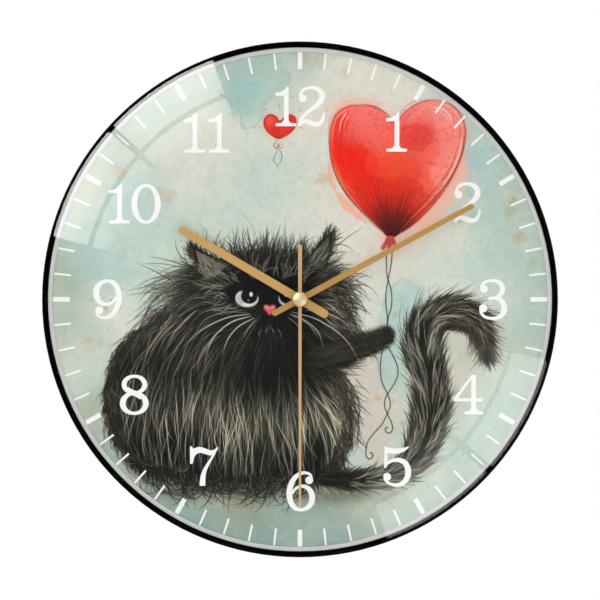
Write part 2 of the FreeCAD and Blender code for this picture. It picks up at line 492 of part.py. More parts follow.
motion = gear(MOTION_WHEEL, MOTION, ph_motion_wheel, 13.6, 14.4).fuse(gear(MOTION_PINION, MOTION, ph_motion_pinion, 14.3, 16.6))
motion = windows(motion, MOTION, 4.1, 1.15, 5, 13.6, 14.4)
motion = motion.fuse(cyl(1.3, 13.35, 13.7, MOTION)).cut(cyl(0.76, 12, 18, MOTION))
save("motion_wheel", motion)
hourw = gear(HOUR_WHEEL, CENTRE, ph_hour_wheel, 15.4, 16.2).fuse(cyl(2.55, 16.1, 26.5))
hourw = windows(hourw, CENTRE, 5.0, 1.1, 6, 15.4, 16.2)
hourw = hourw.cut(cyl(1.67, 10, 30))
save("hour_wheel", hourw)
sshaft = cyl(1.5, 1.3, 15.0, SETTING).fuse(gear(SETTING_PINION, SETTING, ph_setting, 13.2, 15.0)).fuse(cyl(1.9, 6.3, 6.9, SETTING)).fuse(cyl(0.8, 15.0, 17.2, SETTING))
save("setting_shaft", sshaft)
knob_pts = []
for k in range(72):
    r = 6.9 if k % 3 else 6.45
    a = 2 * math.pi * k / 72
    knob_pts.append((SETTING[0] + r * math.cos(a), SETTING[1] + r * math.sin(a)))
knob = plate(knob_pts, 0.5, 2.8)
knob = knob.cut(tube(5.6, 4.6, 0.3, 0.9, SETTING)).cut(cyl(1.5, 1.3, 3.5, SETTING))
knob = knob.cut(block(SETTING[0] - 0.6, SETTING[0] + 0.6, SETTING[1] - 3.6, SETTING[1] + 3.6, 0.2, 0.9))
save("setting_knob", knob)

# ================================================================ hands, built pointing to 12 and then turned
def baton(length, tail, w_tip, w_hub, w_tail, d0, t, bore):
    h1, h0, h2 = w_tip / 2, w_hub / 2, w_tail / 2
    w = lambda x, z: V(x, -d0, z)
    e = [Part.LineSegment(w(h0, 0), w(h1, length - h1)).toShape(),
         Part.Arc(w(h1, length - h1), w(0, length), w(-h1, length - h1)).toShape(),
         Part.LineSegment(w(-h1, length - h1), w(-h0, 0)).toShape(),
         Part.LineSegment(w(-h0, 0), w(-h2, -tail + h2)).toShape(),
         Part.Arc(w(-h2, -tail + h2), w(0, -tail), w(h2, -tail + h2)).toShape(),
         Part.LineSegment(w(h2, -tail + h2), w(h0, 0)).toShape()]
    return Part.Face(Part.Wire(e)).extrude(V(0, -t, 0)), bore


def finish_hand(shape, hub_r, d0, t, bore):
    s = shape.fuse(cyl(hub_r, d0, d0 + t)).cut(cyl(bore, d0 - 1, d0 + t + 1))
    return s


def soften(s, amount):
    """Rounds the long front edges of a hand."""
    front = min(v.Point.y for v in s.Vertexes)
    picked = [e for e in s.Edges if all(abs(v.Point.y - front) < 1e-6 for v in e.Vertexes)
              and e.BoundBox.DiagonalLength > 3.0]
    try:
        r = s.makeChamfer(amount, picked)
        return r if r.isValid() and r.Volume > 0 else s
    except Exception:
        return s


b, _ = baton(HOUR_LEN, HOUR_TAIL, 4.6, HOUR_W, HOUR_W, HOUR_HAND_D, HAND_T, 2.9)
hh = finish_hand(soften(b, 0.12), 4.6, HOUR_HAND_D, HAND_T, 2.95)
save("hour_hand", turned(hh, HOUR_DEG))
save("hour_hand_collet", turned(tube(2.95, 2.55, 24.8, 26.4).fuse(tube(3.9, 2.55, 24.8, HOUR_HAND_D)), HOUR_DEG))
b, _ = baton(MINUTE_LEN, MINUTE_TAIL, 3.1, MINUTE_W, 3.4, MINUTE_HAND_D, HAND_T, 2.0)
mh = finish_hand(soften(b, 0.12), 3.7, MINUTE_HAND_D, HAND_T, 2.05)
save("minute_hand", turned(mh, MINUTE_DEG))
save("minute_hand_collet", tube(2.05, 1.6, 26.9, 28.6).fuse(tube(3.0, 1.6, 26.9, MINUTE_HAND_D)))
b, _ = baton(SECOND_LEN, SECOND_TAIL, 1.3, SECOND_W + 0.3, SECOND_TAIL_W, SECOND_HAND_D, 0.3, 1.2)
sh = finish_hand(b, 2.6, SECOND_HAND_D, 0.3, 0.9)
save("second_hand", turned(sh, SECOND_DEG))
save("second_hand_tube", tube(0.9, 0.5, 29.0, 31.2).fuse(tube(1.9, 0.5, 29.0, SECOND_HAND_D)))
# domed cap that hides the second hand's tube
capp = cyl(4.0, 29.9, 31.3).fuse(Part.makeSphere(6.4, V(0, -(31.3 - math.sqrt(6.4 ** 2 - 4.0 ** 2)), 0)).common(cyl(4.05, 31.3, 40.0)))
capp = capp.cut(cyl(0.9, 29.0, 31.2)).cut(cyl(0.5, 31.1, 31.4))
save("hand_cap", capp)
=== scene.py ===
import math

import bpy
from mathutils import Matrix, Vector, geometry


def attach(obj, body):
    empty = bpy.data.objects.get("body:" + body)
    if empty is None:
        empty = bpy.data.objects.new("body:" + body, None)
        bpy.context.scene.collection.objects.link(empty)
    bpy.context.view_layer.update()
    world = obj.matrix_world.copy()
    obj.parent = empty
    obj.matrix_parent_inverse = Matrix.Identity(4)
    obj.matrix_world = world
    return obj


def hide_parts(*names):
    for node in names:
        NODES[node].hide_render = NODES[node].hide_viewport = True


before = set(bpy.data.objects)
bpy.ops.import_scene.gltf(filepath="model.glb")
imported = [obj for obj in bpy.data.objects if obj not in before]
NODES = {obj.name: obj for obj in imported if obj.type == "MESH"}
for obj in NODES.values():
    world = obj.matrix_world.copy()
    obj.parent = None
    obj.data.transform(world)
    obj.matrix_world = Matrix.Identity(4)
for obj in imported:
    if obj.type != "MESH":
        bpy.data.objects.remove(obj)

AXIS_Z = -0.104
bpy.context.view_layer.update()

# ---------------------------------------------------------------- the printed picture, painted by code
# Drawing units: 600 across the drawing, u to the right and v down, the dial's middle at (UC, VC).
import numpy as np

UC, VC = 300.0, 299.4
UNIT = 0.58207e-3            # metres per drawing unit
CELL = 0.3e-3                # metres per cell of the painting
NC = 974
Q = UNIT / CELL
MID = NC / 2.0 - 0.5


def rng(seed):
    return np.random.default_rng(seed)


def noise(period, seed, octaves=3, gain=0.5):
    """Smooth value noise over the canvas, about -1 to 1; period in drawing units."""
    out = np.zeros((NC, NC), np.float32)
    amp, total = 1.0, 0.0
    for o in range(octaves):
        p = max(period * Q / 2 ** o, 1.6)
        n = int(NC / p) + 4
        g = rng(seed * 31 + o).uniform(-1, 1, (n, n)).astype(np.float32)
        t = np.arange(NC, dtype=np.float32) / p + 0.37 * o
        i = t.astype(int)
        f = t - i
        f = f * f * (3 - 2 * f)
        rows = g[i] * (1 - f)[:, None] + g[i + 1] * f[:, None]
        out += amp * (rows[:, i] * (1 - f)[None, :] + rows[:, i + 1] * f[None, :])
        total += amp
        amp *= gain
    return out / total * 1.4


def blur(a, sigma):
    """Gaussian blur; sigma in drawing units."""
    s = sigma * Q
    n = a.shape[0]
    k = np.fft.rfftfreq(n)[None, :] ** 2 + np.fft.fftfreq(n)[:, None] ** 2
    return np.fft.irfft2(np.fft.rfft2(a) * np.exp(-2 * (np.pi * s) ** 2 * k), s=a.shape).astype(np.float32)


YY, XX = np.mgrid[0:NC, 0:NC].astype(np.float32)
GU = (XX - MID) / Q + UC
GV = (YY - MID) / Q + VC


def smooth(a, lo, hi):
    t = np.clip((a - lo) / (hi - lo), 0, 1)
    return t * t * (3 - 2 * t)


def rgb(*c):
    return np.array(c, np.float32) / 255.0


def lay(img, colour, mask):
    m = mask[..., None]
    img *= 1 - m
    img += m * (colour if getattr(colour, "ndim", 1) == 3 else np.asarray(colour, np.float32)[None, None, :])


def curve(points, n):
    """n points along a Catmull-Rom curve through the given points."""
    p = np.asarray(points, np.float64)
    p = np.vstack([2 * p[0] - p[1], p, 2 * p[-1] - p[-2]])
    s = np.linspace(0, len(p) - 3 - 1e-9, n)
    i = s.astype(int)
    t = (s - i)[:, None]
    a, b, c, d = p[i], p[i + 1], p[i + 2], p[i + 3]
    return 0.5 * (2 * b + (c - a) * t + (2 * a - 5 * b + 4 * c - d) * t ** 2 + (3 * b - a - 3 * c + d) * t ** 3)


def closed_curve(points, n):
    p = np.asarray(points, np.float64)
    p = np.vstack([p[-1], p, p[0], p[1]])
    s = np.linspace(0, len(p) - 3 - 1e-9, n)
    i = s.astype(int)
    t = (s - i)[:, None]
    a, b, c, d = p[i], p[i + 1], p[i + 2], p[i + 3]
    return 0.5 * (2 * b + (c - a) * t + (2 * a - 5 * b + 4 * c - d) * t ** 2 + (3 * b - a - 3 * c + d) * t ** 3)


def signed_distance(poly, margin):
    """Distance to a closed outline in drawing units, positive inside, and the canvas window it was worked out in."""
    poly = np.asarray(poly, np.float32)
    lo, hi = poly.min(0) - margin, poly.max(0) + margin
    x0, y0 = np.maximum(np.floor((lo - (UC, VC)) * Q + MID), 0).astype(int)
    x1, y1 = np.minimum(np.ceil((hi - (UC, VC)) * Q + MID) + 1, NC).astype(int)
    u, v = GU[y0:y1, x0:x1], GV[y0:y1, x0:x1]
    best = np.full(u.shape, 1e9, np.float32)
    inside = np.zeros(u.shape, bool)
    for (ax, ay), (bx, by) in zip(poly, np.roll(poly, -1, 0)):
        ex, ey = bx - ax, by - ay
        L = ex * ex + ey * ey + 1e-12
        t = np.clip(((u - ax) * ex + (v - ay) * ey) / L, 0, 1)
        dx, dy = u - ax - t * ex, v - ay - t * ey
        np.minimum(best, dx * dx + dy * dy, out=best)
        if ay != by:
            cross = (ay > v) != (by > v)
            inside ^= cross & (u < (bx - ax) * (v - ay) / (by - ay) + ax)
    d = np.sqrt(best)
    return np.where(inside, d, -d), (slice(y0, y1), slice(x0, x1))


COV = np.zeros(NC * NC, np.float32)
COL = np.zeros((NC * NC, 3), np.float32)


def strokes(img, P, W, C, A, batch=160):
    """Lays tapered brush strokes. P (n,m,2) points, W (n,m) half widths, C (n,3) or (n,m,3) colours, A (n,m) opacity."""
    flat = img.reshape(-1, 3)
    n, m = P.shape[:2]
    if C.ndim == 2:
        C = np.repeat(C[:, None, :], m, 1)
    for s in range(0, n, batch):
        p, w, c, a = P[s:s + batch], W[s:s + batch], C[s:s + batch], A[s:s + batch]
        # resample so that the points are under a cell apart
        seg = np.hypot(*(np.diff(p, axis=1).transpose(2, 0, 1))).sum(1).max() * Q
        k = int(max(m, min(400, seg / 0.7)))
        t = np.linspace(0, m - 1.0001, k)
        i = t.astype(int)
        f = (t - i)[None, :]
        g = lambda z: z[:, i] * (1 - (f if z.ndim == 2 else f[..., None])) + z[:, i + 1] * (f if z.ndim == 2 else f[..., None])
        p, w, c, a = g(p), g(w), g(c), g(a)
        X = ((p[..., 0] - UC) * Q + MID).ravel()
        Y = ((p[..., 1] - VC) * Q + MID).ravel()
        R = (w * Q).ravel()
        T = a.ravel() * np.clip(2 * R, 0, 1)
        cc = c.reshape(-1, 3)
        xi, yi = np.rint(X).astype(int), np.rint(Y).astype(int)
        K = int(np.ceil(R.max() + 0.5))
        ids, cs, src = [], [], []
        every = np.arange(len(X))
        for dy in range(-K, K + 1):
            for dx in range(-K, K + 1):
                d = np.hypot(xi + dx - X, yi + dy - Y)
                cov = np.clip(np.maximum(R, 0.5) + 0.5 - d, 0, 1) * T
                ok = (cov > 0.01) & (xi + dx >= 0) & (xi + dx < NC) & (yi + dy >= 0) & (yi + dy < NC)
                if ok.any():
                    ids.append(((yi + dy) * NC + xi + dx)[ok])
                    cs.append(cov[ok].astype(np.float32))
                    src.append(every[ok])
        if not ids:
            continue
        ids, cs, src = np.concatenate(ids), np.concatenate(cs), np.concatenate(src)
        order = np.argsort(cs, kind="stable")
        ids, cs, src = ids[order], cs[order], src[order]
        COV[ids] = cs                     # the strongest is written last
        COL[ids] = cc[src]
        u = np.unique(ids)
        k1 = COV[u][:, None]
        flat[u] = flat[u] * (1 - k1) + COL[u] * k1
        COV[u] = 0


def taper(m, root=0.25, peak=0.35):
    """Width along a hair: a soft root, the widest a third of the way, then a long point."""
    t = np.linspace(0, 1, m)
    return np.where(t < peak, root + (1 - root) * np.sin(np.clip(t / peak, 0, 1) * np.pi / 2), np.cos(np.clip((t - peak) / (1 - peak), 0, 1) * np.pi / 2) ** 0.8) + 0.02


def line(img, pts, width, colour, alpha=1.0, n=60, ends=True):
    P = curve(pts, n)[None]
    w = np.full((1, n), width / 2.0)
    if ends:
        w = w * taper(n, 0.5, 0.3)[None]
    strokes(img, P, w, np.asarray(colour, np.float32)[None], np.full((1, n), float(alpha)))


class Field:
    """Directions or colours that blend between listed spots."""

    def __init__(self, spots, spread):
        s = np.asarray(spots, np.float64)
        self.at, self.val, self.spread = s[:, :2], s[:, 2:], spread

    def __call__(self, p):
        d2 = ((p[..., None, :] - self.at) ** 2).sum(-1)
        w = np.exp(-d2 / (2 * self.spread ** 2)) + 1e-9 / (1 + d2)
        return (w[..., None] * self.val).sum(-2) / w.sum(-1)[..., None]


def hairs(field, start, length, steps, wander, curl, seed, turn=None):
    """Hairs that follow a direction field from their start points."""
    r = rng(seed)
    n = len(start)
    P = np.zeros((n, steps, 2))
    P[:, 0] = start
    bias = r.normal(0, wander, n) if turn is None else turn
    bend = r.normal(0, curl, n)
    wave = r.normal(0, 0.9, n) + 2.6 * np.sin(start[:, 0] / 9.0 + 1.3 * np.sin(start[:, 1] / 17.0)) + start[:, 1] / 14.0
    wamp = r.uniform(0.2, 1, n) * min(curl, 0.9) * 0.55
    ds = (length / (steps - 1))[:, None]
    for k in range(1, steps):
        v = field(P[:, k - 1])
        a = np.arctan2(v[:, 1], v[:, 0]) + bias + bend * (k / steps - 0.3) + wamp * np.sin(wave + 5.0 * k / steps)
        P[:, k] = P[:, k - 1] + ds * np.stack([np.cos(a), np.sin(a)], 1)
    return P


def scatter(poly_sd, window, n, seed, inside=0.0, weight=None):
    """n random points inside an outline, at least `inside` units in."""
    r = rng(seed)
    m = (poly_sd > inside).astype(np.float64)
    if weight is not None:
        m = m * weight[window]
    c = np.cumsum(m.ravel())
    k = np.searchsorted(c, r.uniform(0, c[-1], n))
    iy, ix = np.unravel_index(np.minimum(k, m.size - 1), m.shape)
    u = (ix + window[1].start + r.uniform(-0.5, 0.5, n) - MID) / Q + UC
    v = (iy + window[0].start + r.uniform(-0.5, 0.5, n) - MID) / Q + VC
    return np.stack([u, v], 1)


def arrows(spots):
    """Spots of (u, v, degrees), degrees measured from right towards down."""
    return [(u, v, np.cos(np.radians(a)), np.sin(np.radians(a))) for u, v, a in spots]


# ---------------------------------------------------------------- the washes
PAINTS = [(148, 152, 136), (144, 164, 156), (164, 176, 160), (172, 188, 176), (180, 196, 184), (200, 192, 180), (196, 200, 184), (188, 204, 192), (204, 208, 196), (212, 212, 200)]
WASHES = [   # u, v, reach, paint
    (240, 62, 24, 3), (300, 60, 26, 3), (345, 72, 24, 9), (395, 75, 26, 9), (215, 88, 22, 4), (250, 95, 26, 3), (290, 88, 22, 6), (325, 92, 22, 9),
    (165, 105, 26, 7), (205, 115, 24, 9), (232, 125, 20, 9), (262, 125, 26, 9), (310, 120, 26, 9), (320, 160, 28, 8), (120, 150, 24, 3),
    (148, 168, 22, 4), (180, 165, 28, 9), (225, 165, 28, 8), (270, 170, 28, 7), (95, 185, 22, 6), (100, 215, 22, 7), (125, 212, 24, 7),
    (160, 205, 26, 7), (210, 205, 30, 8), (262, 210, 30, 8), (310, 205, 26, 8), (345, 205, 22, 9), (75, 245, 22, 4), (72, 275, 22, 2),
    (105, 255, 24, 7), (135, 262, 24, 7), (125, 285, 20, 7), (98, 300, 16, 8), (118, 312, 18, 9), (75, 320, 22, 3), (85, 350, 20, 6),
    (80, 375, 18, 7), (95, 420, 20, 2), (110, 470, 24, 1), (150, 505, 26, 1), (200, 520, 28, 1), (225, 503, 16, 0), (260, 512, 16, 0),
    (300, 520, 30, 1), (300, 545, 30, 1), (350, 512, 24, 2), (340, 540, 26, 1), (378, 505, 20, 2), (400, 515, 26, 3), (365, 270, 22, 9),
    (355, 235, 22, 9), (370, 300, 20, 8), (372, 372, 18, 5), (374, 395, 18, 5), (378, 428, 20, 5), (352, 462, 14, 4), (390, 282, 18, 8),
    (402, 305, 16, 4), (402, 340, 16, 4), (398, 385, 12, 6), (402, 440, 16, 4), (398, 462, 14, 5), (425, 268, 22, 8), (450, 262, 24, 8),
    (442, 288, 18, 9), (480, 262, 24, 7), (500, 290, 22, 8), (478, 350, 22, 5), (468, 330, 16, 5), (455, 385, 18, 5), (460, 410, 20, 6),
    (480, 380, 22, 8), (500, 370, 24, 7), (530, 330, 26, 3), (530, 290, 26, 3), (525, 250, 26, 4), (545, 260, 20, 3), (500, 240, 24, 4),
    (455, 225, 26, 8), (475, 205, 24, 7), (500, 205, 22, 3), (510, 175, 22, 3), (480, 165, 20, 4), (478, 135, 20, 7), (460, 105, 20, 4),
    (430, 220, 22, 8), (440, 90, 20, 8), (495, 400, 26, 4), (480, 430, 26, 7), (455, 450, 22, 4), (440, 480, 26, 4), (420, 500, 26, 4),
]
WASHES = [p[:-1] + PAINTS[p[-1]] for p in WASHES]

CAT = [(197, 268), (193, 250), (203, 256), (216, 266), (230, 262), (245, 258), (262, 255), (280, 256), (296, 260), (308, 260), (318, 247),
       (331, 234), (329, 252), (326, 268), (334, 280), (340, 294), (344.5, 309), (345.5, 325), (349, 337), (364, 334), (377, 330.5), (386, 328), (391.5, 333),
       (390.5, 341.5), (382, 348), (366, 354.5), (349, 361), (337, 366), (338.5, 377), (344, 391), (348.5, 407), (350, 426), (348, 440), (342, 453),
       (336, 464), (327, 476), (310, 484), (288, 484), (262, 484), (236, 483), (205, 484), (180, 479), (158, 470), (138, 464), (122, 452), (111, 436),
       (106, 416), (104, 396), (109, 370), (119, 348), (134, 330), (152.5, 319), (166, 306.5), (180, 295), (191, 282.5)]

FLOW = arrows([
    (196, 250, -100), (205, 262, -150), (215, 250, -118), (230, 246, -112), (245, 240, -102), (262, 236, -92), (280, 240, -84), (296, 248, -72),
    (310, 248, -60), (325, 245, -68), (332, 234, -72), (262, 262, -92), (245, 268, -110), (280, 266, -78), (228, 268, -140), (300, 268, -55),
    (318, 264, -45), (335, 272, -20), (350, 284, 0), (362, 298, 42), (366, 316, 74), (362, 332, 95), (345, 300, 20), (330, 290, 5),
    (325, 310, 30), (345, 322, 48), (310, 325, 52), (300, 340, 70), (320, 338, 40), (280, 330, 88), (270, 345, 92), (258, 325, 128),
    (245, 318, 158), (228, 314, 170), (240, 338, 140), (255, 352, 110), (218, 300, 176), (222, 284, -168), (205, 284, -176), (190, 276, -174),
    (178, 272, 176), (165, 276, 160), (155, 288, 138), (144, 300, 128), (190, 300, 150), (200, 320, 140), (180, 320, 132), (150, 330, 122),
    (130, 335, 124), (116, 350, 118), (106, 372, 106), (100, 395, 98), (104, 420, 84), (110, 442, 74), (122, 458, 60), (140, 470, 70),
    (140, 380, 102), (140, 420, 94), (160, 350, 118), (170, 400, 98), (170, 440, 92), (200, 350, 122), (200, 380, 104), (205, 420, 94),
    (205, 460, 90), (230, 360, 108), (240, 400, 94), (240, 440, 90), (240, 480, 90), (270, 380, 92), (275, 420, 88), (275, 460, 88),
    (300, 370, 80), (308, 400, 72), (310, 440, 80), (308, 475, 86), (330, 378, 44), (338, 396, 56), (342, 420, 66), (340, 445, 80),
    (330, 465, 88), (352, 380, 40), (322, 354, 4), (334, 352, -4), (346, 348, -10), (358, 345, -16), (372, 339, -20), (384, 336, -14), (352, 358, -16),
    (366, 351, -20), (358, 405, 64), (358, 435, 82), (180, 478, 88), (160, 468, 84), (200, 486, 92), (260, 486, 90),
])

FURS = [(12, 16, 12), (24, 28, 20), (36, 36, 28), (44, 44, 36), (60, 56, 48), (72, 68, 56), (88, 84, 72), (108, 104, 92)]
TONE = [   # u, v, fur tone
    (200, 262, 4), (215, 272, 6), (232, 258, 4), (262, 252, 3), (290, 256, 3), (318, 254, 5), (270, 270, 1), (248, 285, 0), (285, 285, 0),
    (240, 300, 0), (225, 300, 2), (270, 305, 1), (205, 290, 3), (190, 300, 4), (170, 290, 7), (150, 300, 7), (160, 320, 4), (140, 330, 5),
    (125, 350, 3), (110, 370, 3), (104, 400, 4), (112, 440, 3), (190, 330, 4), (200, 345, 4), (160, 350, 3), (175, 365, 3), (150, 380, 4),
    (175, 395, 6), (185, 410, 6), (150, 410, 4), (205, 395, 5), (218, 400, 6), (232, 395, 5), (215, 420, 6), (245, 410, 6), (262, 405, 5),
    (285, 410, 6), (300, 415, 6), (270, 430, 5), (240, 435, 5), (200, 440, 3), (170, 440, 2), (140, 440, 2), (310, 395, 6), (325, 400, 6),
    (338, 420, 6), (340, 396, 6), (330, 440, 4), (345, 445, 4), (300, 445, 3), (230, 462, 1), (190, 462, 1), (150, 462, 1), (270, 465, 1),
    (310, 470, 2), (250, 480, 1), (200, 482, 1), (300, 482, 2), (255, 330, 3), (275, 335, 2), (230, 330, 4), (240, 350, 2), (270, 355, 1),
    (255, 370, 1), (285, 370, 0), (230, 370, 3), (300, 350, 1), (310, 365, 1), (280, 385, 1), (300, 385, 2), (320, 380, 4), (325, 325, 4),
    (345, 310, 7), (335, 290, 6), (350, 300, 7), (345, 330, 4), (350, 345, 3), (370, 342, 2), (385, 336, 2), (330, 350, 3), (345, 355, 4),
]
TONE = [p[:-1] + FURS[p[-1]] for p in TONE]

LIGHT = [   # u, v, reach, weight: where the pale hairs gather
    (215, 290, 18, 1.2), (192, 296, 20, 1.2), (170, 318, 22, 0.65), (150, 345, 22, 0.5), (200, 320, 18, 0.7), (262, 262, 20, 0.7), (285, 262, 16, 0.8),
    (240, 262, 14, 0.6), (330, 290, 16, 1.3), (345, 305, 16, 2.2), (330, 320, 16, 0.8), (205, 395, 22, 1.0), (180, 395, 18, 0.9), (225, 410, 20, 1.0),
    (250, 405, 22, 1.0), (280, 405, 22, 1.2), (300, 395, 18, 1.5), (320, 395, 18, 1.6), (338, 410, 16, 1.4), (345, 435, 14, 1.0), (270, 440, 22, 0.45),
    (230, 440, 22, 0.45), (190, 440, 22, 0.4), (150, 420, 22, 0.6), (140, 385, 18, 0.7), (120, 380, 16, 0.6), (130, 450, 16, 0.6), (320, 460, 14, 0.8),
    (250, 340, 16, 0.35), (225, 345, 14, 0.5),
]

TAIL = [(318, 477, 8), (334, 479, 8), (352, 480, 8.5), (372, 479, 10), (390, 475, 12), (403, 468, 13.5), (415, 458, 15.5), (423, 443, 17), (428.5, 426, 17.5),
        (431, 408, 17.8), (430.5, 390, 18), (427.5, 372, 18.5), (424.5, 356, 18.5), (422.5, 342, 18), (424.5, 330, 17), (431, 320.5, 16), (440, 315, 15.5),
        (451, 313, 15.5), (462, 314, 13.5), (471, 318.5, 11), (477.5, 325, 6.5), (482, 333.5, 4.2), (485, 342, 2.8), (486.5, 351, 1.8)]

HEART = [(396, 123.5), (390, 117.5), (382, 111), (372, 106.5), (360, 105), (348, 106), (338, 111.5), (332, 120), (329.4, 132), (329.2, 146), (331.5, 162),
         (337, 178), (346, 194), (358, 208), (371, 221), (382, 231.5), (391, 237.5), (400, 233.5), (412, 226), (426, 213), (440, 197), (451, 180),
         (459.5, 162), (464.5, 144), (465.5, 129), (461, 115), (451, 104.5), (438, 100), (424, 101), (411, 107), (401.5, 115.5)]
SMALL = [(280, 121), (276, 116.5), (270.5, 114.5), (265.5, 117), (263.6, 122.5), (265, 128.5), (270, 134.5), (278.5, 139), (287, 135.5), (293.5, 130),
         (296.4, 124), (295.5, 118), (291, 114.8), (285.5, 116)]


def paint():
    # ---- paper and washes
    P = np.stack([GU[::6, ::6], GV[::6, ::6]], -1)
    spots = np.array(WASHES, np.float64)
    n1, n2 = noise(46, 3, 4), noise(46, 4, 4)
    Pw = P + 9.0 * np.stack([n1[::6, ::6], n2[::6, ::6]], -1)
    d2 = ((Pw[..., None, :] - spots[:, :2]) ** 2).sum(-1)
    w = np.exp(-d2 / (1.1 * spots[:, 2] ** 2)) + 1e-6 / (1 + d2)
    low = (w[..., None] * spots[:, 3:]).sum(-2) / w.sum(-1)[..., None] / 255.0
    # enlarge the wash colours smoothly
    t = np.arange(NC) / 6.0
    i = np.minimum(t.astype(int), low.shape[0] - 2)
    f = (t - i)[:, None, None]
    rows = low[i] * (1 - f) + low[i + 1] * f
    f = (t - i)[None, :, None]
    img = (rows[:, i] * (1 - f) + rows[:, i + 1] * f).astype(np.float32)
    # pigment pooling: teal where the noise is high, cream where it is low, with harder dried edges
    big = noise(90, 11, 5, 0.55)
    lay(img, rgb(150, 190, 186), 0.20 * smooth(big, 0.12, 0.75))
    lay(img, rgb(224, 217, 202), 0.22 * smooth(-big, 0.10, 0.75))
    img = np.ascontiguousarray(img)
    for k, (seed, per, cut, amount) in enumerate([(21, 70, 0.18, 0.13), (22, 44, 0.30, 0.10), (23, 120, 0.05, 0.10), (24, 34, 0.36, 0.08)]):
        f = noise(per, seed, 5, 0.55)
        edge = np.exp(-((f - cut) / 0.018) ** 2) * smooth(noise(60, seed + 40, 2), -0.2, 0.5)
        lay(img, rgb(136, 168, 164) if k % 2 == 0 else rgb(176, 160, 136), amount * edge)
        lay(img, rgb(214, 216, 206), amount * 0.5 * smooth(f, cut, cut + 0.05) * (k % 2))
    # named pools: u, v, radius, colour, strength
    pools = [(395, 308, 30, (168, 200, 194), 0.38), (404, 372, 26, (168, 196, 190), 0.34), (440, 262, 34, (184, 206, 198), 0.22),
             (238, 96, 20, (150, 186, 184), 0.34), (98, 262, 30, (164, 200, 198), 0.30), (128, 196, 22, (160, 196, 194), 0.34),
             (474, 158, 15, (138, 192, 204), 0.40), (300, 540, 60, (128, 158, 150), 0.28), (170, 520, 46, (128, 160, 150), 0.28),
             (258, 86, 12, (146, 190, 196), 0.4), (352, 455, 16, (176, 200, 200), 0.3), (505, 420, 40, (186, 206, 198), 0.25)]
    wob = noise(22, 31, 4)
    for u, v, r, c, s in pools:
        d = np.hypot(GU - u, (GV - v) * 1.1) + 0.38 * r * wob
        m = smooth(-d, -r, -r * 0.72)
        lay(img, rgb(*c), s * m + 0.18 * s * np.exp(-((d - r * 0.9) / 1.1) ** 2))
    # a drip above and vertical blue runs at the right edge
    drip = smooth(-np.abs(GU - 242 + 3 * noise(30, 33, 2)), -9.0, -6.0) * smooth(-GV, -120, -112)
    lay(img, rgb(158, 188, 180), 0.45 * drip)
    runs = smooth(np.sin(GU * 1.1 + 2.5 * noise(40, 35, 2)), 0.3, 1.0) * smooth(-np.hypot(GU - 475, (GV - 150) * 0.55), -17, -6)
    lay(img, rgb(140, 190, 204), 0.4 * runs * smooth(noise(12, 36, 2), -0.4, 0.5))
    # ground shadow under the cat, tan stains and a warm bottom band
    g = np.exp(-((GV - (492 + 4 * noise(40, 37, 2))) / 9.5) ** 2) * smooth(GU, 105, 190) * smooth(-GU, -420, -340)
    lay(img, rgb(84, 80, 62), 0.62 * g)
    for u, v, r, s in [(118, 306, 5, .5), (111, 300, 3, .6), (106, 308, 2.6, .6), (178, 262, 5, .3), (166, 197, 9, .3), (160, 190, 5, .3), (92, 300, 3, .3),
                       (345, 290, 4, .2), (395, 314, 3.4, .6), (396, 305, 2.2, .4), (378, 397, 3.4, .45), (394, 400, 3.6, .5), (403, 424, 3, .35),
                       (352, 508, 6, .5), (346, 520, 4, .4), (300, 528, 6, .25), (324, 178, 7, .3), (318, 195, 5, .3), (318, 182, 4, .4), (508, 210, 10, .4),
                       (520, 236, 9, .35), (512, 200, 7, .4), (528, 262, 8, .25), (492, 132, 6, .25), (345, 72, 8, .25), (302, 56, 14, .35), (318, 60, 10, .3),
                       (88, 340, 5, .35), (100, 344, 4, .3), (108, 330, 2, .4), (250, 52, 9, .25), (498, 350, 6, .3), (120, 175, 10, .3), (415, 258, 5, .2),
                       (238, 512, 7, .3), (226, 518, 5, .3), (205, 508, 5, .25)]:
        d = np.hypot(GU - u, GV - v) + 0.6 * r * noise(9, 51, 3)
        lay(img, rgb(188, 150, 104), s * smooth(-d, -r, -r * 0.3))
    # washes with dried edges: outline, colour, strength, edge
    for pts, c, s, e in [
            ([(226, 60), (262, 54), (288, 68), (286, 94), (264, 104), (257, 124), (243, 130), (236, 110), (222, 98), (213, 80)], (146, 184, 180), 0.34, 0.30),
            ([(316, 60), (352, 53), (420, 66), (438, 90), (402, 97), (345, 91), (322, 84)], (216, 214, 200), 0.40, 0.16),
            ([(316, 172), (332, 204), (360, 234), (402, 248), (440, 228), (466, 230), (460, 250), (432, 262), (412, 280), (398, 296), (384, 320), (370, 330), (350, 300),
              (338, 262), (320, 225), (308, 196)], (218, 210, 196), 0.34, 0.18),
            ([(386, 290), (402, 280), (420, 290), (422, 316), (414, 345), (404, 374), (394, 394), (380, 382), (375, 350), (378, 318)], (158, 194, 188), 0.32, 0.26),
            ([(462, 256), (500, 246), (540, 262), (556, 310), (524, 336), (506, 306), (474, 286)], (168, 194, 188), 0.26, 0.18),
            ([(462, 128), (486, 118), (504, 150), (496, 190), (472, 200), (466, 168)], (150, 192, 194), 0.26, 0.22),
            ([(70, 236), (104, 222), (126, 250), (118, 290), (88, 300), (64, 276)], (158, 190, 182), 0.28, 0.20),
            ([(112, 184), (150, 172), (168, 196), (150, 226), (118, 222)], (176, 206, 204), 0.30, 0.20),
            ([(108, 490), (160, 500), (240, 512), (300, 530), (280, 556), (190, 540), (130, 520)], (128, 160, 150), 0.24, 0.22),
            ([(330, 520), (380, 502), (430, 498), (462, 476), (470, 500), (420, 534), (360, 552), (330, 545)], (150, 178, 170), 0.20, 0.18),
            ([(196, 66), (222, 70), (214, 98), (186, 110), (168, 100)], (206, 212, 200), 0.35, 0.16)]:
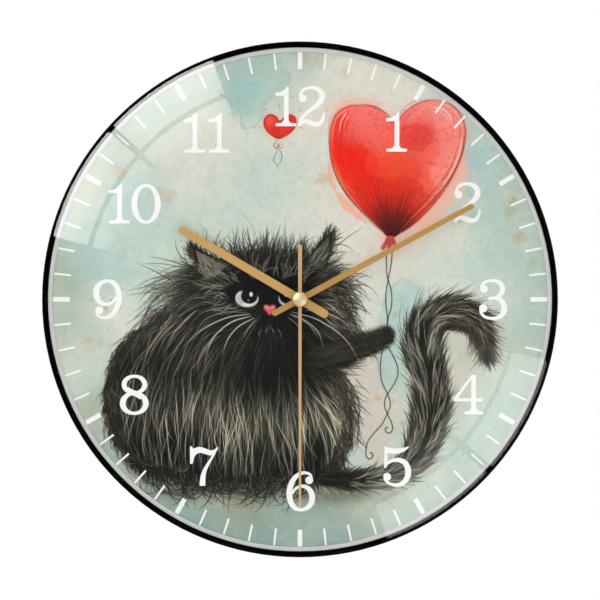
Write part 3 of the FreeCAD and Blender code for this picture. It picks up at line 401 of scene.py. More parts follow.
        w_sd, w_win = signed_distance(closed_curve(pts, 90), 8)
        w_sd = w_sd + 3.2 * noise(16, 131, 4)[w_win] + 1.2 * noise(4, 132, 3)[w_win]
        sub = img[w_win]
        lay(sub, rgb(*c), s * smooth(w_sd, -0.6, 1.0) * (0.75 + 0.25 * np.exp(-np.maximum(w_sd, 0) / 9)))
        lay(sub, np.array(rgb(*c)) * 0.86, e * np.exp(-((w_sd - 0.6) / 0.9) ** 2) * smooth(noise(40, 133, 2)[w_win], -0.5, 0.4))
        img[w_win] = sub
    # flecks
    r = rng(61)
    n = 230
    a, rad = r.uniform(0, 2 * np.pi, n), 240 * np.sqrt(r.uniform(0.02, 1, n))
    pts = np.stack([UC + rad * np.cos(a), VC + rad * np.sin(a)], 1)
    Pf = np.repeat(pts[:, None, :], 3, 1) + r.normal(0, 0.5, (n, 3, 2)).cumsum(1)
    cols = np.where(r.uniform(0, 1, n)[:, None] < 0.6, rgb(176, 146, 108)[None], rgb(120, 130, 112)[None])
    strokes(img, Pf, np.repeat(r.uniform(0.25, 0.95, n)[:, None], 3, 1) * [[0.8, 1, 0.6]], cols, np.repeat(r.uniform(0.25, 0.8, n)[:, None], 3, 1))
    # paper tooth
    tooth = noise(1.7, 71, 2) * 0.5 + noise(5, 72, 2) * 0.5
    img *= (1 + 0.030 * tooth)[..., None]
    grain = noise(9, 73, 4, 0.7)
    lay(img, rgb(122, 164, 162), 0.10 * smooth(grain, 0.05, 0.6) * smooth(big, -0.3, 0.5))
    lay(img, rgb(232, 226, 214), 0.10 * smooth(-grain, 0.05, 0.6))

    # ---- balloons
    sd, win = signed_distance(closed_curve(HEART, 240), 22)
    U, Vv = GU[win], GV[win]
    sub = img[win]
    n8, n9, n10 = noise(30, 81, 5, 0.6)[win], noise(12, 82, 4, 0.6)[win], noise(60, 83, 4)[win]
    for pts, col, amt in [([(329, 160), (336, 186), (352, 206), (368, 224), (350, 214), (338, 200), (328, 182)], (246, 142, 110), 0.50),
                          ([(464, 150), (467, 176), (454, 200), (438, 222), (420, 238), (402, 242), (416, 222), (438, 198), (454, 174)], (246, 178, 158), 0.50),
                          ([(336, 104), (352, 98), (374, 100), (386, 108), (366, 107), (348, 107)], (240, 170, 156), 0.35)]:
        w_sd, w_win = signed_distance(closed_curve(pts, 60), 6)
        w_sd = w_sd + 2.4 * noise(12, 137, 4)[w_win] + 1.0 * noise(4, 138, 3)[w_win]
        img[win] = sub
        part = img[w_win]
        lay(part, rgb(*col), amt * smooth(w_sd, -0.5, 0.9))
        img[w_win] = part
        sub = img[win]
    halo = np.exp(np.minimum(sd, 0) / (6.5 + 3.0 * n10)) * (sd < 0)
    lay(sub, rgb(240, 148, 128), 0.66 * halo * smooth(n8 + 0.9 * smooth(U + Vv, 560, 640) + 0.5 * smooth(-U - Vv, -480, -430), -0.2, 1.0))
    inside = smooth(sd, -0.5, 0.6)
    spots = np.array([(340, 125, 236, 78, 64), (334, 150, 238, 40, 16), (340, 172, 238, 44, 18), (350, 160, 230, 16, 6), (352, 128, 238, 92, 84), (370, 118, 240, 112, 104),
                      (380, 130, 236, 84, 74), (375, 145, 238, 88, 76), (362, 150, 232, 44, 28), (392, 150, 238, 92, 70), (395, 168, 234, 62, 34), (375, 172, 232, 40, 18),
                      (360, 180, 224, 26, 10), (378, 195, 214, 34, 14), (398, 190, 222, 40, 16), (415, 180, 232, 66, 42), (385, 212, 168, 24, 14), (398, 214, 160, 26, 16),
                      (391, 230, 84, 18, 14), (410, 205, 206, 52, 32), (425, 195, 232, 88, 64), (440, 180, 240, 124, 104), (452, 160, 240, 132, 118), (458, 140, 238, 124, 118),
                      (415, 135, 232, 74, 66), (420, 128, 226, 58, 54), (436, 140, 238, 106, 96), (430, 155, 238, 92, 76), (440, 115, 240, 142, 134), (420, 110, 240, 134, 124),
                      (452, 118, 238, 126, 120), (410, 120, 238, 110, 100), (346, 190, 226, 64, 34), (336, 185, 240, 120, 80)], np.float64)
    p = np.stack([U + 5 * n8, Vv + 5 * n9], -1)[::3, ::3]
    d2 = ((p[..., None, :] - spots[:, :2]) ** 2).sum(-1)
    w = np.exp(-d2 / (2 * 9.5 ** 2)) + 1e-7 / (1 + d2)
    c = (w[..., None] * spots[:, 2:]).sum(-2) / w.sum(-1)[..., None] / 255.0
    c = np.repeat(np.repeat(c, 3, 0), 3, 1)[:sd.shape[0], :sd.shape[1]].astype(np.float32)
    for ch in range(3):
        k = np.ones(5) / 5.0
        c[..., ch] = np.apply_along_axis(lambda q: np.convolve(np.pad(q, 2, "edge"), k, "valid"), 0, c[..., ch])
        c[..., ch] = np.apply_along_axis(lambda q: np.convolve(np.pad(q, 2, "edge"), k, "valid"), 1, c[..., ch])
    c *= (1 + 0.045 * n9 + 0.05 * n8)[..., None]
    lay(sub, np.clip(c, 0, 1), inside * 0.97)
    lay(sub, rgb(206, 30, 10), 0.45 * inside * smooth(n8, 0.15, 0.6) * smooth(-np.hypot(U - 352, Vv - 165), -34, -12))
    for pts, col, amt, edge in [
            ([(330, 128), (341, 114), (348, 122), (343, 138), (350, 152), (368, 150), (378, 162), (374, 178), (362, 190), (348, 186), (337, 170), (330, 150)], (228, 20, 8), 0.42, 0.30),
            ([(352, 110), (380, 110), (393, 126), (398, 150), (374, 150), (356, 138)], (240, 116, 106), 0.30, 0.16),
            ([(370, 150), (398, 150), (413, 164), (404, 182), (380, 180), (366, 166)], (240, 78, 44), 0.34, 0.14),
            ([(402, 126), (424, 126), (431, 138), (420, 151), (403, 147)], (212, 34, 32), 0.34, 0.10),
            ([(428, 104), (450, 108), (462, 124), (462, 150), (452, 172), (438, 186), (432, 170), (440, 150), (436, 126)], (244, 146, 136), 0.36, 0.14),
            ([(356, 186), (386, 176), (414, 180), (428, 196), (410, 218), (392, 232), (372, 216)], (206, 30, 12), 0.30, 0.12)]:
        w_sd, w_win = signed_distance(closed_curve(pts, 80), 8)
        w_sd = w_sd + 3.0 * noise(14, 134, 4)[w_win] + 1.2 * noise(4, 135, 3)[w_win]
        full_in = np.zeros((NC, NC), np.float32)
        full_in[win] = inside
        img[win] = sub
        part = img[w_win]
        lay(part, rgb(*col), amt * smooth(w_sd, -1.2, 1.4) * full_in[w_win])
        lay(part, np.array(rgb(*col)) * 0.8, edge * np.exp(-((w_sd - 0.6) / 0.9) ** 2) * full_in[w_win] * smooth(noise(24, 136, 2)[w_win], -0.4, 0.5))
        img[w_win] = part
        sub = img[win]
    for cut, amt, col in [(0.10, 0.20, rgb(196, 26, 16)), (0.34, 0.22, rgb(176, 30, 22))]:
        lay(sub, col, amt * inside * np.exp(-((n9 + 0.4 * n8 - cut) / 0.05) ** 2))
    lay(sub, rgb(150, 40, 34), 0.55 * np.exp(-((sd - 0.3) / 0.75) ** 2) * smooth(n9 + 0.5 * (U > 400) + 0.6 * (Vv > 190), -0.4, 0.8))
    lay(sub, rgb(250, 196, 184), 0.50 * np.exp(-((sd - 3.4) / 0.9) ** 2) * smooth(n10 + 0.55 * (U > 440) + 0.3 * (U < 345), 0.1, 0.8) * (Vv < 206))
    lay(sub, rgb(140, 30, 22), 0.40 * np.exp(-((sd - 5.6) / 0.7) ** 2) * smooth(n8 + 0.5 * (U > 430), 0.2, 0.9) * (Vv > 110) * (Vv < 228))
    img[win] = sub
    r = rng(91)
    # pleats that gather towards the knot: a few long ones, more short ones
    for n, wide, tops, drop, w0, w1, a0 in [(30, 37, 181, 13, 0.22, 0.46, 0.35), (46, 22, 206, 7, 0.22, 0.50, 0.45), (26, 30, 190, 10, 0.4, 0.9, 0.06)]:
        t = np.clip(np.linspace(-1, 1, n) + r.normal(0, 0.05, n), -1.05, 1.05)
        top = np.stack([394 + wide * t + r.normal(0, 1.5, n), tops + 8 * t ** 2 + r.uniform(-1, 1, n) * drop], 1)
        mid = np.stack([391.5 + 0.50 * wide * t + r.normal(0, 1, n), 0.42 * top[:, 1] + 0.58 * 232 + r.normal(0, 1.5, n)], 1)
        end = np.stack([391.3 + 2.6 * t, np.full(n, 236.5)], 1)
        s = np.linspace(0, 1, 24)[None, :, None]
        Pp = (1 - s) ** 2 * top[:, None] + 2 * s * (1 - s) * mid[:, None] + s ** 2 * end[:, None]
        shade = r.uniform(0, 1, n)[:, None]
        strokes(img, Pp, np.linspace(w0, w1, 24)[None] * r.uniform(0.7, 1.1, n)[:, None], shade * rgb(44, 8, 6)[None] + (1 - shade) * rgb(96, 14, 8)[None],
                np.linspace(a0, 0.9, 24)[None] * r.uniform(0.6, 1, n)[:, None])
    for pts, wd, col, al in [([(346, 113), (341, 122), (339, 134)], 1.3, (252, 214, 204), .75), ([(351, 112), (345.5, 122), (343.5, 132)], 0.8, (252, 206, 196), .6),
                             ([(434, 107.5), (444, 110), (450.5, 118), (452, 128)], 1.2, (252, 220, 214), .75), ([(437, 111), (444, 114), (448, 121), (449, 127)], 0.8, (252, 214, 208), .6),
                             ([(347, 128), (346, 142), (350, 152)], 0.7, (150, 30, 20), .5), ([(354, 128), (352, 140), (356, 150)], 0.6, (170, 50, 40), .4),
                             ([(372, 120), (380, 119), (388, 124)], 0.7, (170, 60, 54), .5), ([(370, 126), (380, 125), (390, 130), (393, 137)], 0.7, (176, 66, 58), .45),
                             ([(388, 118), (393, 121.5), (396, 124), (399, 120), (403, 115.5)], 1.0, (120, 50, 44), .7),
                             ([(464, 136), (462, 152), (456, 168), (446, 184), (434, 199), (420, 213), (404, 226), (394, 234)], 1.1, (96, 44, 38), .7),
                             ([(336, 176), (345, 192), (358, 207), (372, 221), (386, 234)], 0.9, (120, 44, 34), .6),
                             ([(328.6, 140), (330.6, 160), (337, 179), (347.6, 197), (360.6, 212), (374, 226), (386, 235.5)], 0.7, (70, 46, 34), .75),
                             ([(331, 152), (337, 174), (348, 193), (362, 210), (378, 226), (388, 235)], 0.7, (252, 206, 176), .55),
                             ([(333, 160), (342, 182), (354, 199), (368, 215), (384, 232)], 0.6, (60, 20, 14), .6),
                             ([(466, 128), (464, 148), (457, 167), (446, 186), (432, 203), (416, 219), (400, 233)], 0.7, (80, 46, 38), .65),
                             ([(462, 140), (456, 162), (445, 182), (430, 200), (413, 217), (398, 233)], 0.7, (252, 214, 196), .55),
                             ([(458, 146), (451, 166), (440, 183), (424, 202), (408, 218), (396, 232)], 0.6, (66, 24, 18), .6),
                             ([(334, 116), (331, 130), (331, 146), (335, 162)], 0.6, (252, 196, 170), .6),
                             ([(332, 113), (328.6, 128), (328.6, 146)], 0.6, (110, 54, 44), .5), ([(398, 118), (404, 108), (416, 101), (430, 98.6)], 0.6, (110, 50, 44), .6),
                             ([(360, 104), (376, 107), (388, 115), (395, 124)], 0.8, (90, 34, 30), .7), ([(341, 134), (340, 150), (344, 166), (352, 180)], 0.55, (140, 24, 16), .5),
                             ([(351, 136), (350, 150), (353, 160)], 0.5, (150, 30, 20), .5), ([(366, 136), (370, 143), (378, 147)], 0.5, (150, 40, 30), .5),
                             ([(384, 116), (390, 122), (395, 130)], 0.6, (120, 40, 36), .5), ([(428, 163), (434, 164), (440, 163)], 0.7, (150, 50, 44), .5)]:
        line(img, pts, wd, rgb(*col), al)
    r = rng(92)
    n = 120
    a = r.uniform(0, 1, (n, 2)) * [120, 90] + [336, 106]
    keep = np.hypot(a[:, 0] - 398, a[:, 1] - 150) < 62
    a = a[keep]
    Pd = np.repeat(a[:, None, :], 3, 1) + r.normal(0, 0.6, (len(a), 3, 2)).cumsum(1)
    strokes(img, Pd, np.full((len(a), 3), 0.42), np.repeat(rgb(150, 40, 34)[None], len(a), 0), np.repeat(r.uniform(0.2, 0.6, len(a))[:, None], 3, 1))
    for pts, wd in [([(387, 235.5), (391, 237), (395.5, 235.5)], 3.4), ([(384, 233), (388, 236), (391, 236)], 1.4), ([(399, 232.5), (395, 236), (391, 236.5)], 1.4)]:
        line(img, pts, wd, rgb(30, 10, 8), 0.85)
    # knot
    for pts, wd in [([(388, 238), (386, 243), (383, 248)], 4.4), ([(392, 238), (394, 243), (396, 247)], 4.2), ([(390, 238), (390, 243), (389, 249)], 4.6)]:
        line(img, pts, wd, rgb(200, 70, 66), 0.95, ends=False)
    for pts in [[(388, 239), (384, 246)], [(390, 239), (388.5, 248)], [(392, 239), (394, 246)]]:
        line(img, pts, 0.8, rgb(110, 26, 26), 0.8)
    # the small balloon
    sd, win = signed_distance(closed_curve(SMALL, 120), 8)
    sub = img[win]
    lay(sub, rgb(226, 120, 100), 0.28 * np.exp(np.minimum(sd, 0) / 2.2) * (sd < 0))
    sm = noise(10, 84, 4)[win]
    base = rgb(216, 46, 36)[None, None] * (1 + 0.10 * sm)[..., None]
    lay(sub, np.clip(base, 0, 1), smooth(sd, -0.5, 0.5))
    lay(sub, rgb(238, 108, 96), 0.5 * smooth(sd, 0.5, 2.5) * smooth(-np.hypot(GU[win] - 270, GV[win] - 121), -8, -2))
    lay(sub, rgb(120, 24, 20), 0.6 * np.exp(-((sd - 0.4) / 0.6) ** 2))
    img[win] = sub
    for pts, wd, col in [([(276.5, 140), (274, 146), (277, 148.5), (278.5, 144), (280, 148.5), (283, 146), (280, 141)], 1.4, (190, 110, 88)),
                         ([(278, 149), (275, 156), (273.5, 161), (278, 167), (277.6, 172)], 0.8, (84, 84, 76)), ([(279, 149), (282, 156), (280, 163), (275.5, 168)], 0.8, (84, 84, 76)),
                         ([(264, 108), (268, 112)], 0.8, (196, 110, 90)), ([(279, 104), (279.4, 110)], 0.8, (196, 110, 90)), ([(298, 112), (303, 109)], 0.8, (196, 110, 90)),
                         ([(300, 127), (305, 129.5)], 0.8, (196, 110, 90)), ([(258, 128), (262, 127)], 0.7, (196, 110, 90)), ([(289, 142), (292, 147)], 0.7, (196, 120, 96))]:
        line(img, pts, wd, rgb(*col), 0.9)
    # strings
    ink = rgb(52, 54, 52)
    for pts in [[(386.2, 250), (386.2, 260), (386.6, 272), (388, 280), (391, 290), (391.8, 299), (391, 308), (388.4, 317), (387, 328)],
                [(392, 250), (391.6, 259), (390.4, 268), (388, 280), (386, 292), (385.8, 304), (387.2, 316), (387, 328)],
                [(383.5, 346), (381, 358), (380.2, 370), (382, 382), (386, 391), (389, 398), (390.2, 405), (387.4, 413), (382, 424), (374, 433), (368, 441), (365.8, 450), (366.2, 456),
                 (369, 459), (372.4, 457), (372, 453), (369.6, 453)],
                [(387.5, 346), (393, 356), (397.2, 366), (397.6, 375), (394, 384), (388.6, 392), (384.8, 400), (385, 408), (387.8, 415), (391.6, 423), (392.4, 429), (389.6, 433), (386, 431.6),
                 (385.4, 428.4), (387.6, 427.2)]]:
        line(img, pts, 1.15, ink, 0.95, n=160, ends=False)

    # ---- the cat
    body = closed_curve(CAT, 420)
    sd, win = signed_distance(body, 14)
    U, Vv = GU[win], GV[win]
    flow, tone = Field(FLOW, 13.0), Field(TONE, 10.0)
    pts = np.stack([U, Vv], -1)[::3, ::3]
    c = np.repeat(np.repeat(tone(pts), 3, 0), 3, 1)[:sd.shape[0], :sd.shape[1]] / 255.0
    c = c * (1 - 0.30 * smooth(Vv, 430, 478))[..., None]
    rough = noise(5, 101, 3)[win] * 2.2
    sub = img[win]
    lay(sub, (c * 0.66).astype(np.float32), smooth(sd + rough, 0.2, 4.2))
    img[win] = sub
    full = np.zeros((NC, NC), np.float32)
    for u, v, rr, wt in LIGHT:
        full += wt * np.exp(-((GU - u) ** 2 + (GV - v) ** 2) / (2 * rr ** 2))
    low = smooth(GV, 436, 452)

    def depth(p):
        """How far inside the outline each point lies."""
        ix = np.clip(((p[:, 0] - UC) * Q + MID - win[1].start).astype(int), 0, sd.shape[1] - 1)
        iy = np.clip(((p[:, 1] - VC) * Q + MID - win[0].start).astype(int), 0, sd.shape[0] - 1)
        return sd[iy, ix]

    def coat(n, seed, length, width, wander, curl, shade, spread, alpha, inside=1.5, weight=None, steps=18, push=0.0):
        q = rng(seed)
        p0 = scatter(sd, win, n, seed + 1, inside, weight)
        L = q.uniform(length[0], length[1], n)
        L = L * np.clip((488 - p0[:, 1]) / 46, 0.16, 1) * np.where((p0[:, 1] < 272) & (p0[:, 0] > 205), 0.55, 1.0)
        L = L * np.clip(0.30 + depth(p0) / 22.0, 0.30, 1)
        reach = (p0[:, 0] > 338) & (p0[:, 1] > 322) & (p0[:, 1] < 364)
        L = np.where(reach, np.minimum(L, np.maximum(2.5, (390 - p0[:, 0]) * 0.8)), L)
        Hh = hairs(flow, p0, L, steps, wander, curl, seed + 2)
        w = q.uniform(width[0], width[1], n)[:, None] * taper(steps)[None]
        base = tone(p0) / 255.0 * (1 - 0.25 * smooth(p0[:, 1], 430, 478))[:, None]
        k = q.normal(shade, spread, n)[:, None]
        col = np.clip(base * (1 + k) + push, 0, 1).astype(np.float32)
        strokes(img, Hh, w, col, np.repeat(q.uniform(alpha[0], alpha[1], n)[:, None], steps, 1))

    coat(3600, 200, (20, 48), (0.7, 1.4), 0.12, 0.30, 0.06, 0.20, (0.35, 0.75), inside=3.0)
    coat(3000, 210, (22, 52), (0.4, 0.9), 0.11, 0.35, -0.60, 0.15, (0.4, 0.8))
    coat(2500, 220, (20, 50), (0.32, 0.62), 0.10, 0.35, 0.28, 0.28, (0.3, 0.7))
    coat(2300, 230, (18, 48), (0.3, 0.6), 0.11, 0.40, -0.80, 0.10, (0.45, 0.9), inside=-0.5)
    coat(800, 240, (28, 64), (0.26, 0.44), 0.09, 0.40, 0.55, 0.35, (0.35, 0.8), weight=full, push=0.02)
    coat(1500, 245, (20, 52), (0.3, 0.6), 0.10, 0.40, -0.75, 0.12, (0.35, 0.8))
    sub = img[win]
    dark = 0.56 * smooth(Vv, 420, 460)
    for u, v, rr, wt in ((166, 440, 20, 0.30), (196, 448, 18, 0.20), (312, 444, 15, 0.24)):
        dark = dark + wt * np.exp(-((U - u) ** 2 + (Vv - v) ** 2) / (2 * rr ** 2))
    sub *= (1 - np.minimum(dark, 0.68) * smooth(sd, -1, 6))[..., None]
    img[win] = sub
    coat(430, 250, (34, 78), (0.25, 0.36), 0.09, 0.50, 1.2, 0.45, (0.5, 1.0), weight=full, push=0.13)
    coat(110, 255, (16, 40), (0.24, 0.34), 0.12, 0.70, 1.0, 0.40, (0.4, 0.8), weight=low, push=0.03)

    # hairs that break the outline
    nb = len(body)
    k = rng(260).integers(0, nb, 2700)
    q = rng(261)
    nrm = np.roll(body, -1, 0) - np.roll(body, 1, 0)
    nrm = np.stack([nrm[:, 1], -nrm[:, 0]], 1)
    nrm /= np.linalg.norm(nrm, axis=1)[:, None] + 1e-9
    p0 = body[k] - nrm[k] * q.uniform(-1.0, 9.0, len(k))[:, None]
    paw = (p0[:, 0] > 362) & (p0[:, 1] < 352) & (p0[:, 1] > 326)
    bottom = p0[:, 1] > 468
    arm = (p0[:, 0] > 348) & (p0[:, 1] < 364) & (p0[:, 1] > 326)
    crown = (p0[:, 1] < 275) & (p0[:, 0] > 180) & (p0[:, 0] < 325)
    L = q.uniform(6, 18, len(k)) * np.where(paw | arm, 0.3, 1.0) * np.where(crown, 0.9, 1.0)
    Hh = hairs(flow, p0, L, 16, 0.30, 0.9, 262)
    edge = np.clip(tone(p0) / 255.0 * q.uniform(0.25, 1.15, len(k))[:, None], 0, 1).astype(np.float32)
    strokes(img, Hh, q.uniform(0.3, 0.62, len(k))[:, None] * taper(16)[None], edge, np.repeat((q.uniform(0.5, 0.95, len(k)) * np.where(bottom, 0.45, 1.0))[:, None], 16, 1))
    # long fly-away hairs: start, heading, length, bend
    q = rng(270)
    groups = [((226, 258), (40, 6), -112, 0.34, (14, 30), 54, 0.5), ((266, 256), (30, 5), -88, 0.34, (14, 30), 52, 0.5), ((300, 259), (16, 5), -66, 0.34, (12, 26), 26, 0.5),
              ((322, 252), (8, 9), -66, 0.25, (12, 20), 30, 0.2), ((194, 274), (10, 8), -172, 0.26, (30, 66), 50, -1.25), ((174, 288), (10, 7), 172, 0.28, (22, 48), 44, -1.0),
              ((338, 286), (10, 10), -6, 0.28, (18, 38), 56, 1.5), ((344, 308), (6, 12), 26, 0.28, (14, 32), 44, 1.2), ((330, 276), (8, 8), -28, 0.3, (14, 28), 24, 0.6),
              ((154, 314), (8, 10), 134, 0.24, (14, 34), 44, -0.4), ((132, 338), (6, 8), 126, 0.22, (12, 28), 34, -0.4), ((116, 364), (4, 12), 112, 0.22, (12, 28), 40, -0.5), ((108, 408), (5, 22), 90, 0.28, (12, 26), 50, -0.8),
              ((132, 458), (14, 5), 78, 0.35, (14, 34), 44, -1.9), ((166, 469), (18, 5), 96, 0.35, (18, 40), 44, -2.7), ((206, 476), (24, 4), 78, 0.35, (18, 40), 44, 2.7),
              ((252, 478), (22, 4), 74, 0.35, (18, 44), 44, 2.5), ((262, 478), (12, 4), 56, 0.35, (18, 42), 18, 2.7), ((296, 479), (18, 4), 80, 0.4, (12, 28), 28, 1.4),
              ((350, 392), (6, 14), 44, 0.3, (12, 28), 54, 1.0), ((354, 424), (5, 16), 72, 0.3, (12, 26), 50, 0.9), ((340, 456), (7, 8), 84, 0.35, (12, 24), 44, 0.8),
              ((362, 354), (12, 2), 16, 0.35, (6, 14), 16, 1.0), ((366, 334), (10, 2), -30, 0.3, (4, 9), 12, 0.3), ((330, 250), (3, 8), -40, 0.3, (14, 40), 6, 0.4),
              ((262, 484), (50, 4), 66, 0.3, (16, 36), 34, 2.5), ((176, 478), (40, 4), 104, 0.3, (16, 34), 40, -2.7), ((226, 484), (60, 3), 100, 0.3, (16, 32), 30, -2.4)]
    allP, allW, allC, allA = [], [], [], []
    for (cu, cv), (su, sv), head, wand, (l0, l1), n, bend in groups:
        st = np.stack([cu + q.uniform(-1, 1, n) * su, cv + q.uniform(-1, 1, n) * sv], 1)
        a = np.radians(head) + q.normal(0, wand, n)
        L = q.uniform(l0, l1, n)
        b = q.normal(bend, 0.35 + 0.3 * abs(bend), n)
        steps = 18
        P = np.zeros((n, steps, 2))
        P[:, 0] = st
        for s in range(1, steps):
            ang = a + b * (s / steps)
            P[:, s] = P[:, s - 1] + (L / (steps - 1))[:, None] * np.stack([np.cos(ang), np.sin(ang)], 1)
        allP.append(P)
        allW.append(q.uniform(0.26, 0.50, n)[:, None] * (1.35 if cv > 465 else 1.0) * taper(steps, 0.7, 0.2)[None])
        allC.append(np.where(q.uniform(0, 1, n)[:, None] < 0.8, rgb(24, 22, 16)[None], rgb(92, 86, 72)[None]).astype(np.float32))
        allA.append(np.repeat(q.uniform(0.55, 0.95, n)[:, None], steps, 1))
    strokes(img, np.concatenate(allP), np.concatenate(allW), np.concatenate(allC), np.concatenate(allA))

    # ears
    for tri, fill in [([(194, 249), (205, 280), (228, 266), (212, 258)], (126, 118, 106)), ([(330, 236), (308, 256), (314, 270), (326, 264)], (82, 80, 70))]:
        e_sd, e_win = signed_distance(closed_curve(tri, 60), 6)
        sub = img[e_win]
        lay(sub, rgb(*fill), 0.75 * smooth(e_sd, -0.5, 3.5))
        img[e_win] = sub
    line(img, [(193.5, 247), (197, 262), (203, 279)], 3.2, rgb(22, 20, 16), 0.95)
    line(img, [(193.5, 247), (206, 254), (226, 263)], 2.4, rgb(26, 24, 20), 0.9)
    line(img, [(331, 233), (330, 250), (325, 268)], 3.4, rgb(26, 25, 20), 0.95)
    line(img, [(331, 233), (318, 246), (306, 262)], 2.6, rgb(30, 29, 24), 0.9)
    q = rng(280)
    for (x0, y0), (x1, y1), n, seed in [((203, 277), (198, 256), 26, 1), ((314, 268), (328, 240), 30, 2)]:
        t = q.uniform(0, 1, n)
        st = np.stack([x0 + q.uniform(-2, 14 if seed == 1 else 6, n), y0 - q.uniform(0, 8, n)], 1)
        en = np.stack([x1 + (st[:, 0] - x0) * 0.7 + q.normal(0, 2, n), y1 + q.uniform(0, 12, n)], 1)
        s = np.linspace(0, 1, 12)[None, :, None]
        P = st[:, None] * (1 - s) + en[:, None] * s + np.sin(s * np.pi) * q.normal(0, 1.5, (n, 1, 2))
        col = np.where(q.uniform(0, 1, n)[:, None] < 0.5, rgb(40, 38, 30)[None], rgb(150, 144, 128)[None]).astype(np.float32)
        strokes(img, P, q.uniform(0.25, 0.5, n)[:, None] * taper(12)[None], col, np.full((n, 12), 0.8))

    # the reaching arm
    a_sd, a_win = signed_distance(closed_curve([(296, 346), (318, 347), (338, 344), (356, 338.5), (372, 332.5), (386, 328.5), (392, 333), (390.5, 341.5), (382, 348),
                                                (366, 354), (348, 360), (326, 366), (300, 370)], 80), 8)
    sub = img[a_win]
    lay(sub, rgb(16, 15, 11), 0.55 * smooth(a_sd + 4, -2, 4) * smooth(GU[a_win], 300, 350) * (a_sd < 0))
    lay(sub, rgb(36, 33, 24), 0.92 * smooth(a_sd + 1.2 * noise(4, 121, 3)[a_win], -0.4, 1.6) * smooth(GU[a_win], 296, 330))
    img[a_win] = sub
    q = rng(281)
    n = 620
    t = q.uniform(0, 1, n) ** 0.8
    st = np.stack([302 + 80 * t, 357 - 6 * t - 14 * t ** 2 + q.uniform(-1, 1, n) * (9.5 - 1.5 * t)], 1)
    P = np.zeros((n, 14, 2))
    P[:, 0] = st
    head = np.radians(-4 - 18 * t) + q.normal(0, 0.12, n)
    L = q.uniform(8, 22, n) * np.clip((396 - st[:, 0]) / 30, 0.25, 1)
    for k in range(1, 14):
        ang = head - 0.18 * k / 14 + q.normal(0, 0.02, n)
        P[:, k] = P[:, k - 1] + (L / 13)[:, None] * np.stack([np.cos(ang), np.sin(ang)], 1)
    f = q.uniform(0, 1, n)[:, None]
    strokes(img, P, q.uniform(0.26, 0.6, n)[:, None] * taper(14)[None], (rgb(10, 9, 7) * (1 - f) + rgb(74, 67, 50) * f).astype(np.float32), np.repeat(q.uniform(0.35, 0.85, n)[:, None], 14, 1))

    # face: a plain round-eyed cat
    def ellipse(cu, cv, ru, rv, colour, alpha=1.0, soft=0.7, ang=0.0):
        ca, sa = np.cos(np.radians(ang)), np.sin(np.radians(ang))
        du, dv = GU - cu, GV - cv
        d = np.sqrt(((du * ca + dv * sa) / ru) ** 2 + ((-du * sa + dv * ca) / rv) ** 2)
        rad = min(ru, rv)
        m = smooth((1 - d) * rad, -soft, soft) * alpha
        y0, y1 = int((cv - 60 - VC) * Q + MID), int((cv + 60 - VC) * Q + MID)
        x0, x1 = int((cu - 60 - UC) * Q + MID), int((cu + 60 - UC) * Q + MID)
        w_ = (slice(y0, y1), slice(x0, x1))
        s_ = img[w_]
        lay(s_, rgb(*colour), m[w_])
        img[w_] = s_

    ellipse(247, 293, 21, 15, (8, 8, 8), 0.85, 5)
    ellipse(290, 294, 21, 15, (8, 8, 8), 0.85, 5)
    ellipse(268, 290, 16, 16, (10, 10, 10), 0.75, 6)
    for cu, side in ((247.0, 1), (290.0, -1)):
        ellipse(cu - 2 * side, 305.5, 11, 3.4, (96, 58, 54), 0.55, 1.6, 8 * side)
        ellipse(cu, 298.6, 12.4, 9.6, (10, 10, 10), 1.0, 0.7, 4 * side)
        ellipse(cu, 298.4, 11.6, 8.8, (196, 196, 190), 1.0, 0.6, 4 * side)
        ellipse(cu - 1.5 * side, 301.0, 9.0, 5.4, (232, 232, 226), 0.6, 1.6)
        ellipse(cu - 6.0 * side, 300.0, 4.0, 4.6, (120, 120, 116), 0.45, 2)
        ellipse(cu + 2.4 * side, 296.0, 8.2, 7.8, (6, 6, 7), 1.0, 0.6)
        ellipse(cu, 287.6, 13.0, 4.2, (8, 8, 8), 0.95, 1.2, 6 * side)
        ellipse(cu + 4.2 * side, 294.4, 1.7, 2.3, (235, 238, 238), 0.95, 0.5)
        ellipse(cu + 1.6 * side, 300.4, 1.0, 1.0, (170, 172, 170), 0.7, 0.4)
